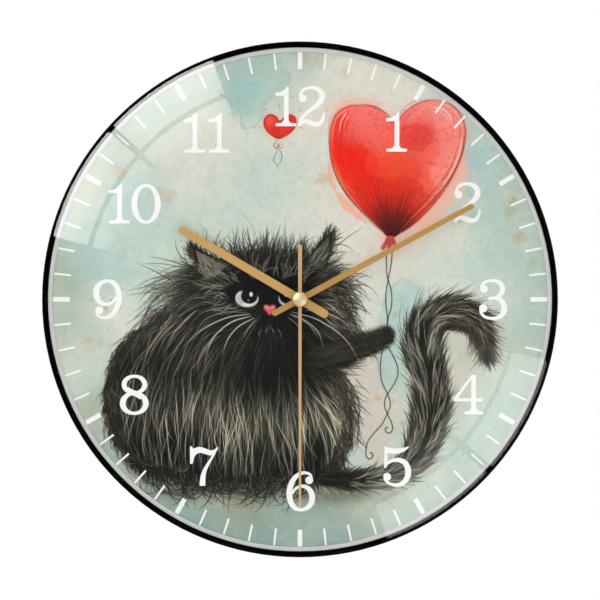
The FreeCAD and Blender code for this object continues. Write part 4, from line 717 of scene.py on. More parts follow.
    # nose and mouth
    nose_sd, nose_win = signed_distance(closed_curve([(264, 305.5), (267, 304.6), (269.8, 306.0), (272.6, 304.6), (275.6, 305.8), (275.4, 309.0), (272.6, 312.6), (269.8, 315.6),
                                                      (266.8, 312.4), (264.0, 309.0)], 60), 4)
    sub = img[nose_win]
    lay(sub, rgb(214, 92, 98), smooth(nose_sd, -0.4, 0.6))
    lay(sub, rgb(240, 150, 150), 0.6 * smooth(nose_sd, 0.6, 2.0) * (GV[nose_win] < 308.5))
    lay(sub, rgb(150, 40, 50), 0.6 * np.exp(-((nose_sd - 0.2) / 0.6) ** 2))
    img[nose_win] = sub
    line(img, [(269.8, 315), (269.8, 322)], 1.0, rgb(14, 14, 12), 0.9)
    line(img, [(269.8, 322), (262, 326.5), (254, 325)], 1.2, rgb(10, 10, 9), 0.8)
    line(img, [(269.8, 322), (278, 326.5), (286, 325)], 1.2, rgb(10, 10, 9), 0.8)
    for pts in [[(268, 327), (266, 331), (266.5, 334)], [(271, 327), (273.5, 331), (273, 334)], [(262, 329), (259, 333), (260, 338)], [(278, 329), (281, 334), (280, 339)]]:
        line(img, pts, 0.8, rgb(176, 172, 156), 0.6)
    for pts, al in [([(250, 314), (226, 318), (202, 330), (182, 348)], .9), ([(251, 316), (230, 323), (212, 340), (204, 366)], 1.0), ([(254, 318), (238, 327), (227, 341), (222, 358)], .95),
                    ([(246, 311), (222, 308), (204, 312), (192, 322)], .5), ([(256, 320), (248, 329), (243, 338)], .6), ([(248, 313), (228, 312), (208, 318), (194, 332)], .5),
                    ([(290, 314), (304, 320), (318, 332), (324, 350)], .85), ([(292, 312), (318, 320), (344, 338), (360, 362)], .9), ([(294, 310), (322, 312), (344, 322), (356, 340)], .6),
                    ([(288, 317), (298, 326), (304, 340)], .55), ([(291, 315), (308, 324), (318, 338)], .5)]:
        line(img, pts, 1.05, rgb(206, 204, 196), al)
    # brow tufts, pale
    q = rng(290)
    for cu, cv, head, n in [(236, 280, -108, 10), (258, 276, -94, 12), (280, 276, -84, 12), (300, 280, -66, 10), (222, 290, -172, 12), (226, 300, 172, 12), (232, 308, 160, 8)]:
        st = np.stack([cu + q.uniform(-8, 8, n), cv + q.uniform(-5, 5, n)], 1)
        Hh = hairs(flow, st, q.uniform(12, 26, n), 16, 0.35, 1.2, int(cu * 3 + cv))
        strokes(img, Hh, q.uniform(0.26, 0.42, n)[:, None] * taper(16)[None], np.repeat(rgb(168, 164, 148)[None], n, 0), np.full((n, 16), 0.7))

    # paw: toes and claws
    for cu, cv, ru, rv in [(387, 331.5, 5.0, 3.6), (388.5, 336.2, 4.6, 3.2), (386.5, 341.0, 4.6, 3.2)]:
        ellipse(cu, cv, ru, rv, (30, 29, 22), 0.9, 0.9, -10)
        line(img, [(cu - 3, cv + rv * 0.9), (cu + 2, cv + rv * 0.9)], 0.7, rgb(8, 8, 6), 0.7)
    for pts in [[(391, 331), (393, 332.6)], [(391.6, 336), (393.6, 337.6)], [(389.6, 342), (391.6, 343.6)]]:
        line(img, pts, 0.7, rgb(20, 19, 15), 0.9)

    # ---- the tail
    tl = np.array(TAIL, np.float64)
    sp = curve(tl, 260)
    mid, hw = sp[:, :2], sp[:, 2]
    tan = np.gradient(mid, axis=0)
    tan /= np.linalg.norm(tan, axis=1)[:, None]
    nor = np.stack([tan[:, 1], -tan[:, 0]], 1)
    t_sd, t_win = signed_distance(np.vstack([mid + nor * (hw * 0.66)[:, None], (mid - nor * (hw * 0.66)[:, None])[::-1]])[::2], 10)
    U, Vv = GU[t_win], GV[t_win]
    sub = img[t_win]
    lay(sub, rgb(38, 36, 26), smooth(t_sd + 2.0 * noise(5, 103, 3)[t_win], -0.5, 3.0))
    img[t_win] = sub

    def tail_hairs(n, seed, side, length, width, lean, colours, alpha, ends=(0.0, 1.0)):
        q = rng(seed)
        k = (q.uniform(ends[0], ends[1], n) * 259).astype(int)
        o = q.uniform(side[0], side[1], n) * np.where(q.uniform(0, 1, n) < 0.5, -1, 1)
        st = mid[k] + nor[k] * (o * hw[k])[:, None]
        size = np.clip(hw[k] / 22.0, 0.35, 1)
        L = q.uniform(length[0], length[1], n) * (0.4 + 0.6 * size)
        lean_a = q.normal(lean, 0.16, n) * np.sign(o)
        steps = 16
        P = np.zeros((n, steps, 2))
        P[:, 0] = st
        base = np.arctan2(tan[k][:, 1], tan[k][:, 0])
        ahead = np.minimum(k + 12, 259)
        follow = np.arctan2(tan[ahead][:, 1], tan[ahead][:, 0]) - base
        follow = (follow + np.pi) % (2 * np.pi) - np.pi
        wv = q.normal(0, 0.35, n)
        for s in range(1, steps):
            f = s / steps
            ang = base + follow * f * 1.1 - lean_a * (0.7 + 0.6 * f) + wv * (f - 0.4)
            P[:, s] = P[:, s - 1] + (L / (steps - 1))[:, None] * np.stack([np.cos(ang), np.sin(ang)], 1)
        c0, c1 = rgb(*colours[0]), rgb(*colours[1])
        f = q.uniform(0, 1, n)[:, None]
        strokes(img, P, q.uniform(width[0], width[1], n)[:, None] * taper(steps)[None], (c0 * (1 - f) + c1 * f).astype(np.float32),
                np.repeat(q.uniform(alpha[0], alpha[1], n)[:, None], steps, 1))

    tail_hairs(900, 300, (0.0, 0.70), (20, 44), (0.6, 1.2), 0.10, ((22, 20, 14), (50, 46, 36)), (0.5, 0.9))
    tail_hairs(1300, 310, (0.35, 0.86), (16, 36), (0.28, 0.6), 0.26, ((18, 16, 11), (48, 44, 34)), (0.5, 0.95))
    tail_hairs(900, 320, (0.0, 0.85), (16, 36), (0.28, 0.58), 0.18, ((8, 7, 6), (22, 20, 14)), (0.45, 0.9))
    tail_hairs(600, 330, (0.05, 0.90), (18, 44), (0.22, 0.34), 0.26, ((150, 144, 126), (214, 210, 196)), (0.45, 0.95), (0.08, 0.97))
    tail_hairs(460, 340, (0.7, 0.95), (14, 32), (0.24, 0.42), 0.40, ((26, 24, 17), (60, 54, 42)), (0.5, 0.9))
    tail_hairs(190, 350, (0.2, 0.95), (26, 52), (0.24, 0.40), 0.34, ((20, 18, 13), (44, 40, 31)), (0.6, 0.95), (0.55, 0.99))
    tail_hairs(150, 360, (0.1, 0.9), (26, 50), (0.24, 0.40), 0.55, ((22, 20, 14), (90, 84, 68)), (0.6, 0.95), (0.80, 0.97))
    return np.clip(img, 0, 1)

# ---------------------------------------------------------------- helpers for materials
def linear(c):
    """One 0-255 display colour as linear RGBA."""
    v = np.array(c, float) / 255.0
    v = np.where(v <= 0.04045, v / 12.92, ((v + 0.055) / 1.055) ** 2.4)
    return (float(v[0]), float(v[1]), float(v[2]), 1.0)


class Mat:
    """A node material put together by short calls."""

    def __init__(self, name):
        self.m = bpy.data.materials.new(name)
        self.m.use_nodes = True
        self.t = self.m.node_tree
        self.t.nodes.clear()
        self.out = self.t.nodes.new("ShaderNodeOutputMaterial")

    def node(self, kind, **props):
        n = self.t.nodes.new(kind)
        for k, v in props.items():
            setattr(n, k, v)
        return n

    def link(self, a, b):
        self.t.links.new(a, b)

    def coords(self, scale=(1, 1, 1), rotation=(0, 0, 0)):
        c = self.node("ShaderNodeTexCoord")
        m = self.node("ShaderNodeMapping")
        m.inputs["Scale"].default_value = scale
        m.inputs["Rotation"].default_value = rotation
        self.link(c.outputs["Object"], m.inputs["Vector"])
        return m.outputs["Vector"]

    def noise(self, scale, detail=3.0, stretch=(1, 1, 1), rotation=(0, 0, 0), rough=0.55):
        n = self.node("ShaderNodeTexNoise")
        n.inputs["Scale"].default_value = scale
        n.inputs["Detail"].default_value = detail
        n.inputs["Roughness"].default_value = rough
        self.link(self.coords(stretch, rotation), n.inputs["Vector"])
        return n.outputs["Fac"]

    def remap(self, value, a, b, c, d):
        n = self.node("ShaderNodeMapRange")
        for i, v in enumerate((a, b, c, d)):
            n.inputs[i + 1].default_value = v
        self.link(value, n.inputs[0])
        return n.outputs[0]

    def blend(self, fac, a, b):
        n = self.node("ShaderNodeMix", data_type="RGBA")
        self.link(fac, n.inputs[0])
        for socket, c in ((n.inputs[6], a), (n.inputs[7], b)):
            if isinstance(c, tuple):
                socket.default_value = c
            else:
                self.link(c, socket)
        return n.outputs[2]

    def math(self, op, a, b=None):
        n = self.node("ShaderNodeMath", operation=op)
        for socket, v in ((n.inputs[0], a), (n.inputs[1], b)):
            if v is None:
                continue
            if isinstance(v, (int, float)):
                socket.default_value = v
            else:
                self.link(v, socket)
        return n.outputs[0]

    def bump(self, height, strength, distance):
        n = self.node("ShaderNodeBump")
        n.inputs["Strength"].default_value = strength
        n.inputs["Distance"].default_value = distance
        self.link(height, n.inputs["Height"])
        return n.outputs["Normal"]

    def shader(self, colour, roughness, metallic=0.0, normal=None, **sockets):
        p = self.node("ShaderNodeBsdfPrincipled")
        if isinstance(colour, tuple):
            p.inputs["Base Color"].default_value = colour
        else:
            self.link(colour, p.inputs["Base Color"])
        if isinstance(roughness, (int, float)):
            p.inputs["Roughness"].default_value = roughness
        else:
            self.link(roughness, p.inputs["Roughness"])
        p.inputs["Metallic"].default_value = metallic
        if normal is not None:
            self.link(normal, p.inputs["Normal"])
        for k, v in sockets.items():
            if isinstance(v, (int, float, tuple)):
                p.inputs[k.replace("_", " ")].default_value = v
            else:
                self.link(v, p.inputs[k.replace("_", " ")])
        self.link(p.outputs[0], self.out.inputs["Surface"])
        return p


def shade(c, k):
    return (min(c[0] * k, 1.0), min(c[1] * k, 1.0), min(c[2] * k, 1.0), 1.0)


def moulded(name, colour, rough=0.45, spread=0.12, grain=0.00004, grain_scale=2600, **sockets):
    """Moulded plastic: slow cloudy colour, slight gloss change and a fine spark-eroded grain."""
    m = Mat(name)
    c = linear(colour)
    col = m.blend(m.noise(55, 3), shade(c, 1 - spread), shade(c, 1 + spread))
    r = m.remap(m.noise(320, 2), 0.3, 0.7, rough - 0.06, rough + 0.06)
    n = m.bump(m.noise(grain_scale, 2), 0.6, grain)
    m.shader(col, r, 0.0, n, **sockets)
    return m.m


def metal(name, colour, rough=0.3, spread=0.1, stretch=(1, 1, 1), scale=900, metallic=1.0, grain=0.00001, rotation=(0, 0, 0), **sockets):
    """Rolled, turned or plated metal with fine directional scratches."""
    m = Mat(name)
    c = linear(colour)
    lines = m.noise(scale, 4, stretch, rotation)
    col = m.blend(lines, shade(c, 1 - spread), shade(c, 1 + spread))
    r = m.remap(lines, 0.3, 0.7, rough - 0.05, rough + 0.07)
    n = m.bump(lines, 0.5, grain)
    m.shader(col, r, metallic, n, **sockets)
    return m.m


def dress(node, *materials):
    mesh = NODES[node].data
    mesh.materials.clear()
    for m in materials:
        mesh.materials.append(m)


def add_mesh(name, verts, faces, material, smooth_shading=False):
    mesh = bpy.data.meshes.new(name)
    mesh.from_pydata([tuple(v) for v in verts], [], [tuple(f) for f in faces])
    mesh.materials.append(material)
    if smooth_shading:
        mesh.polygons.foreach_set("use_smooth", [True] * len(mesh.polygons))
    mesh.update()
    o = bpy.data.objects.new(name, mesh)
    bpy.context.scene.collection.objects.link(o)
    return o


# ---------------------------------------------------------------- the printed dial sheet
SHEET_R, SHEET_HOLE_R = 0.14625, 0.00435
SHEET_FRONT, SHEET_BACK, INK_FRONT = -0.02137, -0.02121, -0.0214


def dial_sheet():
    """A sheet of card as a fine grid. Its picture is a colour at each grid point."""
    img = paint()
    k = np.arange(NC) - MID
    X, Z = np.meshgrid(k * CELL, -k * CELL)
    R = np.hypot(X, Z)
    keep = (R <= SHEET_R - 0.4 * CELL) & (R >= SHEET_HOLE_R + 0.4 * CELL)
    quad = keep[:-1, :-1] & keep[1:, :-1] & keep[:-1, 1:] & keep[1:, 1:]
    used = np.zeros_like(keep)
    for a, b in ((0, 0), (1, 0), (0, 1), (1, 1)):
        used[a:NC - 1 + a, b:NC - 1 + b] |= quad
    index = -np.ones(keep.shape, np.int64)
    index[used] = np.arange(used.sum())
    x, z = X[used].copy(), Z[used].copy()
    col = img[used]
    i, j = np.nonzero(quad)
    faces = np.stack([index[i, j], index[i + 1, j], index[i + 1, j + 1], index[i, j + 1]], 1)
    # edges with one face make the outer and the inner outline, which are drawn onto true circles
    e = np.concatenate([faces[:, [0, 1]], faces[:, [1, 2]], faces[:, [2, 3]], faces[:, [3, 0]]])
    key = np.sort(e, 1)
    code = key[:, 0] * (used.sum() + 1) + key[:, 1]
    _, first, count = np.unique(code, return_index=True, return_counts=True)
    rim = e[first[count == 1]]
    ids = np.unique(rim)
    r = np.hypot(x[ids], z[ids])
    to = np.where(r > 0.5 * SHEET_R, SHEET_R, SHEET_HOLE_R)
    x[ids] *= to / r
    z[ids] *= to / r
    n = len(x)
    back = {int(v): n + q for q, v in enumerate(ids)}
    side = np.array([[int(b), int(a), back[int(a)], back[int(b)]] for a, b in rim])
    # the back face between the two outlines, zipped together by angle
    outer = [int(v) for v, rr in zip(ids, r) if rr > 0.5 * SHEET_R]
    inner = [int(v) for v, rr in zip(ids, r) if rr <= 0.5 * SHEET_R]
    ang = lambda v: math.atan2(z[v], x[v])
    outer.sort(key=ang)
    inner.sort(key=ang)
    tris = []
    p = q = 0
    while p < len(outer) or q < len(inner):
        a, b = outer[p % len(outer)], inner[q % len(inner)]
        ap = ang(outer[p]) if p < len(outer) else 9.0
        bp = ang(inner[q]) if q < len(inner) else 9.0
        if ap <= bp:
            tris.append([back[a], back[b], back[outer[(p + 1) % len(outer)]]])
            p += 1
        else:
            tris.append([back[a], back[b], back[inner[(q + 1) % len(inner)]]])
            q += 1
    tris = np.array(tris)
    co = np.zeros((n + len(ids), 3), np.float32)
    co[:n, 0], co[:n, 1], co[:n, 2] = x, SHEET_FRONT, z + AXIS_Z
    co[n:] = co[ids]
    co[n:, 1] = SHEET_BACK
    quads = np.concatenate([faces, side])
    loops = np.concatenate([quads.ravel(), tris.ravel()]).astype(np.int32)
    mesh = bpy.data.meshes.new("dial_sheet")
    mesh.vertices.add(len(co))
    mesh.vertices.foreach_set("co", co.ravel())
    mesh.loops.add(len(loops))
    mesh.loops.foreach_set("vertex_index", loops)
    mesh.polygons.add(len(quads) + len(tris))
    start = np.concatenate([np.arange(len(quads)) * 4, len(quads) * 4 + np.arange(len(tris)) * 3]).astype(np.int32)
    mesh.polygons.foreach_set("loop_start", start)
    mesh.update(calc_edges=True)
    rgba = np.ones((len(co), 4), np.float32)
    c = np.clip(np.concatenate([col, np.full((len(ids), 3), 0.93, np.float32)]), 0, 1)
    rgba[:, :3] = np.where(c <= 0.04045, c / 12.92, ((c + 0.055) / 1.055) ** 2.4)
    layer = mesh.color_attributes.new("print", "FLOAT_COLOR", "POINT")
    layer.data.foreach_set("color", rgba.ravel())
    o = bpy.data.objects.new("dial_sheet", mesh)
    bpy.context.scene.collection.objects.link(o)
    m = Mat("printed_card")
    a = m.node("ShaderNodeAttribute", attribute_name="print")
    grain = m.noise(2400, 3)
    darker = m.node("ShaderNodeMix", data_type="RGBA", blend_type="MULTIPLY")
    darker.inputs[0].default_value = 1.0
    m.link(a.outputs["Color"], darker.inputs[6])
    tone = m.blend(grain, (0.955, 0.955, 0.95, 1), (1, 1, 1, 1))
    m.link(tone, darker.inputs[7])
    r = m.remap(m.noise(700, 2), 0.3, 0.7, 0.72, 0.86)
    m.shader(darker.outputs[2], r, 0.0, m.bump(grain, 0.25, 0.00003), Specular_IOR_Level=0.25)
    mesh.materials.append(m.m)
    return o


# ---------------------------------------------------------------- printed numerals and minute track
def spine(points, n):
    """A stroke of changing width as quads along a curve through (x, y, width)."""
    c = curve(points, n)
    d = np.gradient(c[:, :2], axis=0)
    d /= np.hypot(d[:, 0], d[:, 1])[:, None] + 1e-12
    nrm = np.stack([-d[:, 1], d[:, 0]], 1)
    a, b = c[:, :2] + nrm * c[:, 2:] / 2, c[:, :2] - nrm * c[:, 2:] / 2
    return [[a[i], b[i], b[i + 1], a[i + 1]] for i in range(n - 1)]


def disc(x, y, r, n=32):
    return [[(x + r * math.cos(2 * math.pi * k / n), y + r * math.sin(2 * math.pi * k / n)) for k in range(n)]]


def ring(cx, cy, rx, ry, thin, thick, lean=0.0, n=72):
    """A bowl: heavy at its sides and light at top and bottom."""
    out = []
    pts = []
    for k in range(n):
        t = 2 * math.pi * k / n
        w = thin + (thick - thin) * abs(math.cos(t + lean)) ** 1.7
        pts.append((cx + rx * math.cos(t), cy + ry * math.sin(t), w, math.cos(t) / rx, math.sin(t) / ry))
    for k in range(n):
        quad = []
        for q, s in ((k, 1), (k, -1), ((k + 1) % n, -1), ((k + 1) % n, 1)):
            x, y, w, nx, ny = pts[q]
            m = math.hypot(nx, ny)
            quad.append((x + s * nx / m * w / 2, y + s * ny / m * w / 2))
        out.append(quad)
    return out


def blade(points, n=40):
    """One closed area with a smooth outline."""
    return [[tuple(p) for p in closed_curve(points, n)[:-1]]]


def foot(xc, half, stem, y0=16.9, y1=19.7):
    """A bracketed slab serif under a stem."""
    s = stem / 2
    return [[(xc - half, y1), (xc - half, y0), (xc - s - 2.2, y0 - 0.5), (xc - s, y0 - 3.2), (xc + s, y0 - 3.2),
             (xc + s + 2.2, y0 - 0.5), (xc + half, y0), (xc + half, y1)]]


def one(x=0.0):
    s = [[(x - 1.55, -11.0), (x - 1.55, 18.0), (x + 3.15, 18.0), (x + 3.15, -19.9), (x + 1.9, -19.9)],
         [(x - 10.0, -13.6), (x - 4.6, -14.4), (x - 1.2, -16.6), (x + 1.9, -19.9), (x + 2.6, -12.0), (x - 1.2, -11.0), (x - 4.2, -10.7), (x - 10.0, -10.5)]]
    return s + foot(x + 0.55, 10.3, 4.7)


def six():
    a = spine([(11.0, -12.4, 2.2), (9.9, -16.6, 2.6), (5.2, -18.9, 2.9), (-0.6, -18.0, 3.7), (-6.2, -13.4, 4.8), (-10.0, -6.0, 5.6),
               (-11.2, 2.2, 5.9), (-9.7, 10.3, 5.6), (-5.6, 16.2, 4.5), (0.2, 18.4, 3.1)], 60)
    b = spine([(0.2, 18.4, 3.1), (6.2, 16.4, 4.3), (10.6, 11.2, 5.6), (11.5, 4.6, 5.8), (9.4, -1.4, 5.2), (4.8, -5.0, 3.9),
               (-0.6, -5.3, 3.0), (-5.4, -2.6, 2.6), (-8.4, 2.0, 2.4)], 54)
    return a + b + disc(8.6, -11.5, 3.9)


def turned(polys):
    return [[(-p[0], -p[1]) for p in poly] for poly in polys]


def moved(polys, x):
    return [[(p[0] + x, p[1]) for p in poly] for poly in polys]


def numeral(ch):
    if ch == "1":
        return one(0.0)
    if ch == "2":
        return (spine([(-10.9, -7.6, 2.6), (-11.0, -12.0, 2.6), (-7.6, -17.0, 2.9), (-0.6, -19.0, 3.1), (6.0, -17.3, 4.4), (10.0, -12.8, 5.6),
                       (9.9, -7.8, 5.6), (6.6, -2.6, 5.0), (0.8, 2.2, 4.0), (-5.6, 7.0, 3.3), (-9.8, 11.8, 3.0), (-11.6, 16.4, 2.9), (-11.9, 19.6, 2.9)], 76)
                + disc(-8.7, -8.0, 3.8)
                + spine([(-12.0, 19.2, 1.4), (-9.6, 15.8, 3.0), (-6.2, 14.8, 4.2), (-1.4, 16.2, 5.1), (3.6, 17.8, 4.7), (8.2, 16.8, 4.1),
                         (11.0, 13.0, 3.0), (12.2, 8.6, 2.0), (12.3, 6.4, 1.6)], 54))
    if ch == "3":
        return (spine([(-11.6, -10.6, 2.4), (-10.8, -14.6, 2.7), (-6.6, -18.2, 2.9), (0.2, -19.0, 3.1), (6.4, -17.0, 4.3), (9.4, -12.0, 5.1),
                       (8.4, -6.4, 4.8), (4.2, -2.6, 3.5), (-1.2, -1.5, 2.8), (-4.6, -1.4, 2.6)], 60)
                + spine([(-1.0, -1.7, 2.6), (5.0, -1.0, 3.6), (9.6, 2.6, 5.2), (11.2, 8.6, 5.8), (9.0, 15.0, 5.1), (3.6, 18.3, 3.7), (-2.2, 18.7, 3.0),
                         (-8.4, 17.0, 2.9), (-12.0, 13.0, 2.6), (-12.6, 9.4, 2.3)], 60)
                + disc(-9.0, -10.6, 3.8) + disc(-9.8, 8.6, 4.1))
    if ch == "4":
        return ([[(3.3, -19.9), (6.4, -19.9), (-10.9, 4.2), (-14.6, 6.6), (-14.6, 4.3)],
                 [(-14.6, 3.7), (14.2, 3.7), (14.2, 6.7), (-14.6, 6.7)],
                 [(3.1, -16.5), (6.2, -19.9), (8.0, -19.9), (8.0, 18.0), (3.1, 18.0)]]
                + foot(5.6, 9.5, 4.9))
    if ch == "5":
        return ([[(-12.4, -19.9), (-10.4, -19.6), (-9.6, -13.0), (-10.6, 1.4), (-13.0, 1.4)],
                 ]
                + blade([(-12.3, -19.9), (-8.0, -18.6), (-3.0, -18.1), (4.1, -18.3), (9.0, -19.4), (11.9, -20.0), (10.0, -17.2), (5.6, -14.2), (0.0, -12.6),
                         (-5.6, -12.8), (-10.6, -14.2), (-12.1, -17.0)], 60)
                + spine([(-12.6, 1.0, 1.4), (-9.0, -3.6, 2.9), (-3.4, -6.2, 3.8), (2.8, -6.1, 4.5), (8.4, -3.0, 5.4), (11.1, 4.2, 5.9), (9.8, 11.8, 5.6),
                         (5.2, 17.0, 4.5), (-1.0, 18.6, 3.1), (-7.0, 17.4, 2.8), (-11.2, 14.2, 2.6), (-12.6, 10.4, 2.3)], 72)
                + disc(-9.9, 10.4, 3.9))
    if ch == "6":
        return six()
    if ch == "7":
        return (blade([(-13.7, -18.9), (-11.6, -19.3), (-11.0, -17.6), (-9.6, -17.6), (-6.4, -18.9), (-2.6, -18.9), (2.4, -17.2), (6.6, -15.8), (10.4, -16.4),
                       (13.6, -19.2), (13.9, -17.0), (10.6, -12.0), (6.6, -10.6), (1.6, -11.8), (-3.0, -13.2), (-6.8, -12.2), (-9.4, -9.0), (-10.6, -4.4),
                       (-11.2, -2.6), (-13.6, -2.6), (-13.8, -8.0)], 90)
                + [[tuple(p) for p in np.concatenate([
                    curve([(13.9, -18.4), (11.2, -11.6), (6.2, -2.6), (2.8, 5.0), (1.7, 12.0), (1.5, 19.8)], 30),
                    curve([(-4.3, 19.8), (-3.4, 11.0), (-0.8, 3.6), (4.0, -4.2), (9.4, -12.2), (12.6, -17.6)], 30)])]])
    if ch == "8":
        return (ring(0.2, -10.5, 10.3, 8.3, 3.0, 5.0, 0.0)
                + ring(0.0, 8.3, 11.5, 10.0, 3.1, 5.8, 0.0)
                + spine([(-7.4, -6.2, 4.6), (-3.0, -3.2, 5.2), (2.6, -0.8, 5.4), (7.4, 2.4, 5.0)], 20))
    if ch == "9":
        return turned(six())
    if ch == "0":
        return ring(0.0, 0.0, 11.7, 18.4, 3.1, 5.9)
    raise ValueError(ch)


NUMERALS = [  # characters, middle of each (u), middle (v)
    ((("1", -14.55), ("2", 11.6)), 300.0, 106.7), ((("1", -0.55),), 396.6, 132.1), ((("2", 0.0),), 467.2, 202.9), ((("3", 0.0),), 492.9, 299.7),
    ((("4", 0.0),), 468.0, 394.6), ((("5", 0.0),), 397.0, 466.3), ((("6", 0.0),), 300.6, 491.6), ((("7", 0.0),), 203.9, 465.9),
    ((("8", 0.0),), 134.4, 395.0), ((("9", 0.0),), 108.0, 298.9), ((("1", -16.05), ("0", 11.2)), 135.0, 203.9), ((("1", -12.35), ("1", 12.15)), 206.5, 133.1)]


def ink():
    """Numerals and minute track as thin raised ink."""
    jobs = []
    for chars, u, v in NUMERALS:
        for ch, dx in chars:
            jobs.append([[(u + dx + p[0], v + p[1]) for p in poly] for poly in numeral(ch)])
    track = []
    for k in range(60):
        a = math.radians(6 * k)
        w = 4.7 if k % 5 == 0 else 2.0
        dx, dy = math.cos(a), math.sin(a)
        track.append([(UC + r * dx - s * w / 2 * dy, VC + r * dy + s * w / 2 * dx) for r, s in ((230.2, -1), (247.0, -1), (247.0, 1), (230.2, 1))])
    jobs.append(track)
    verts, faces = [], []
    for polys in jobs:
        pts, fs = [], []
        for poly in polys:
            area = sum(poly[i][0] * poly[(i + 1) % len(poly)][1] - poly[(i + 1) % len(poly)][0] * poly[i][1] for i in range(len(poly)))
            poly = list(poly) if area > 0 else list(poly)[::-1]
            fs.append(list(range(len(pts), len(pts) + len(poly))))
            pts += [Vector((float(p[0]), float(p[1]))) for p in poly]
        got = geometry.delaunay_2d_cdt(pts, [], fs, 1, 1e-4)
        vs, out, origin = got[0], got[2], got[5]
        out = [f for f, o in zip(out, origin) if len(o)]
        base = len(verts)
        n = len(vs)
        for y in (INK_FRONT, SHEET_FRONT - 0.000002):
            verts += [((p[0] - UC) * UNIT, y, AXIS_Z - (p[1] - VC) * UNIT) for p in vs]
        count = {}
        for f in out:
            for i in range(len(f)):
                a, b = f[i], f[(i + 1) % len(f)]
                count[(a, b)] = count.get((a, b), 0) + 1
        for f in out:
            faces.append([base + i for i in f])
            faces.append([base + n + i for i in reversed(f)])
        for a, b in count:
            if (b, a) not in count:
                faces.append([base + b, base + a, base + n + a, base + n + b])
    m = Mat("white_ink")
    c = m.blend(m.noise(600, 3), (0.80, 0.80, 0.79, 1), (0.90, 0.90, 0.89, 1))
    m.shader(c, m.remap(m.noise(1500, 2), 0.3, 0.7, 0.5, 0.66), 0.0, m.bump(m.noise(2600, 2), 0.2, 0.00002), Specular_IOR_Level=0.3)
    return add_mesh("dial_ink", verts, faces, m.m)


# ---------------------------------------------------------------- materials of the CAD pieces
def lens_material():
    m = Mat("clear_lens")
    t = m.node("ShaderNodeBsdfTransparent")
    g = m.node("ShaderNodeBsdfGlossy")
    g.inputs["Color"].default_value = (1, 1, 1, 1)
    m.link(m.remap(m.noise(30, 2), 0.3, 0.7, 0.0, 0.012), g.inputs["Roughness"])
    f = m.node("ShaderNodeFresnel")
    f.inputs["IOR"].default_value = 1.5
    side = m.node("ShaderNodeNewGeometry")
    front = m.math("SUBTRACT", 1.0, side.outputs["Backfacing"])
    # the polish stops 0.6 mm short of the moulded edge
    at = m.node("ShaderNodeSeparateXYZ")
    m.link(m.coords(), at.inputs[0])
    up = m.math("ADD", at.outputs["Z"], -AXIS_Z)
    radius = m.math("SQRT", m.math("ADD", m.math("MULTIPLY", at.outputs["X"], at.outputs["X"]), m.math("MULTIPLY", up, up)))
    polished = m.remap(radius, 0.14800, 0.14825, 1.0, 0.0)
    front = m.math("MULTIPLY", front, polished)
    mix = m.node("ShaderNodeMixShader")
    m.link(m.math("MULTIPLY", f.outputs[0], front), mix.inputs[0])
    m.link(t.outputs[0], mix.inputs[1])
    m.link(g.outputs[0], mix.inputs[2])
    m.link(mix.outputs[0], m.out.inputs["Surface"])
    return m.m


def battery_jacket():
    """Printed sleeve: a copper end at the positive pole, a pale band, black for the rest."""
    m = Mat("cell_sleeve")
    c = m.node("ShaderNodeTexCoord")
    s = m.node("ShaderNodeSeparateXYZ")
    m.link(c.outputs["Object"], s.inputs[0])
    wave = m.remap(m.noise(300, 2), 0.3, 0.7, -0.0002, 0.0002)
    x = m.math("ADD", s.outputs["X"], wave)
    end = m.math("GREATER_THAN", x, -0.0118)
    band = m.math("MULTIPLY", m.math("GREATER_THAN", x, -0.0118), m.math("LESS_THAN", x, -0.0104))
    col = m.blend(end, linear((176, 118, 66)), linear((24, 25, 27)))
    col = m.blend(band, col, linear((205, 202, 192)))
    tone = m.node("ShaderNodeMix", data_type="RGBA", blend_type="MULTIPLY")
    tone.inputs[0].default_value = 1.0
    m.link(col, tone.inputs[6])
    m.link(m.blend(m.noise(500, 3), (0.86, 0.86, 0.86, 1), (1, 1, 1, 1)), tone.inputs[7])
    m.shader(tone.outputs[2], m.remap(m.noise(240, 2), 0.3, 0.7, 0.2, 0.32), 0.0, m.bump(m.noise(900, 2), 0.2, 0.00002), Coat_Weight=0.5, Coat_Roughness=0.12)
    return m.m


def wound():
    """Enamelled copper wire, layer wound along Z."""
    m = Mat("copper_winding")
    w = m.node("ShaderNodeTexWave", wave_type="BANDS", bands_direction="Z", wave_profile="SIN")
    w.inputs["Scale"].default_value = 900
    w.inputs["Distortion"].default_value = 0.6
    m.link(m.coords(), w.inputs["Vector"])
    c = linear((158, 84, 44))
    # the colour goes from half in the grooves between turns to a quarter brighter on the crests, following the bump:
    # painted shade in the grooves and painted highlight on the crests
    m.shader(m.blend(w.outputs["Fac"], shade(c, 0.5), shade(c, 1.25)), m.remap(w.outputs["Fac"], 0, 1, 0.45, 0.25), 0.9, m.bump(w.outputs["Fac"], 0.7, 0.00006))
    return m.m


def board_material():
    m = Mat("circuit_laminate")
    w = m.node("ShaderNodeTexVoronoi", feature="DISTANCE_TO_EDGE")
    w.inputs["Scale"].default_value = 260
    m.link(m.coords(), w.inputs["Vector"])
    lines = m.remap(w.outputs["Distance"], 0.03, 0.06, 1, 0)
    c = m.blend(lines, linear((36, 84, 52)), linear((64, 122, 74)))
    m.shader(c, m.remap(m.noise(500, 2), 0.3, 0.7, 0.3, 0.45), 0.0, m.bump(lines, 0.3, 0.00003))
    return m.m


def case_material():
    """Black frame: satin wall, dull front lip."""
    m = Mat("case_black")
    c = linear((5, 5, 6))
    col = m.blend(m.noise(55, 3), shade(c, 0.8), shade(c, 1.2))
    r = m.remap(m.noise(320, 2), 0.3, 0.7, 0.36, 0.48)
    n = m.bump(m.noise(1500, 2), 0.6, 0.00001)
    split = m.node("ShaderNodeSeparateXYZ")
    m.link(m.coords(), split.inputs[0])
    gloss = m.remap(split.outputs["Y"], -0.0236, -0.0222, 0.015, 0.24)
    p = m.shader(col, r, 0.0, n, Specular_IOR_Level=gloss)
    p.inputs["Specular IOR Level"].default_value = 0.2
    return m.m


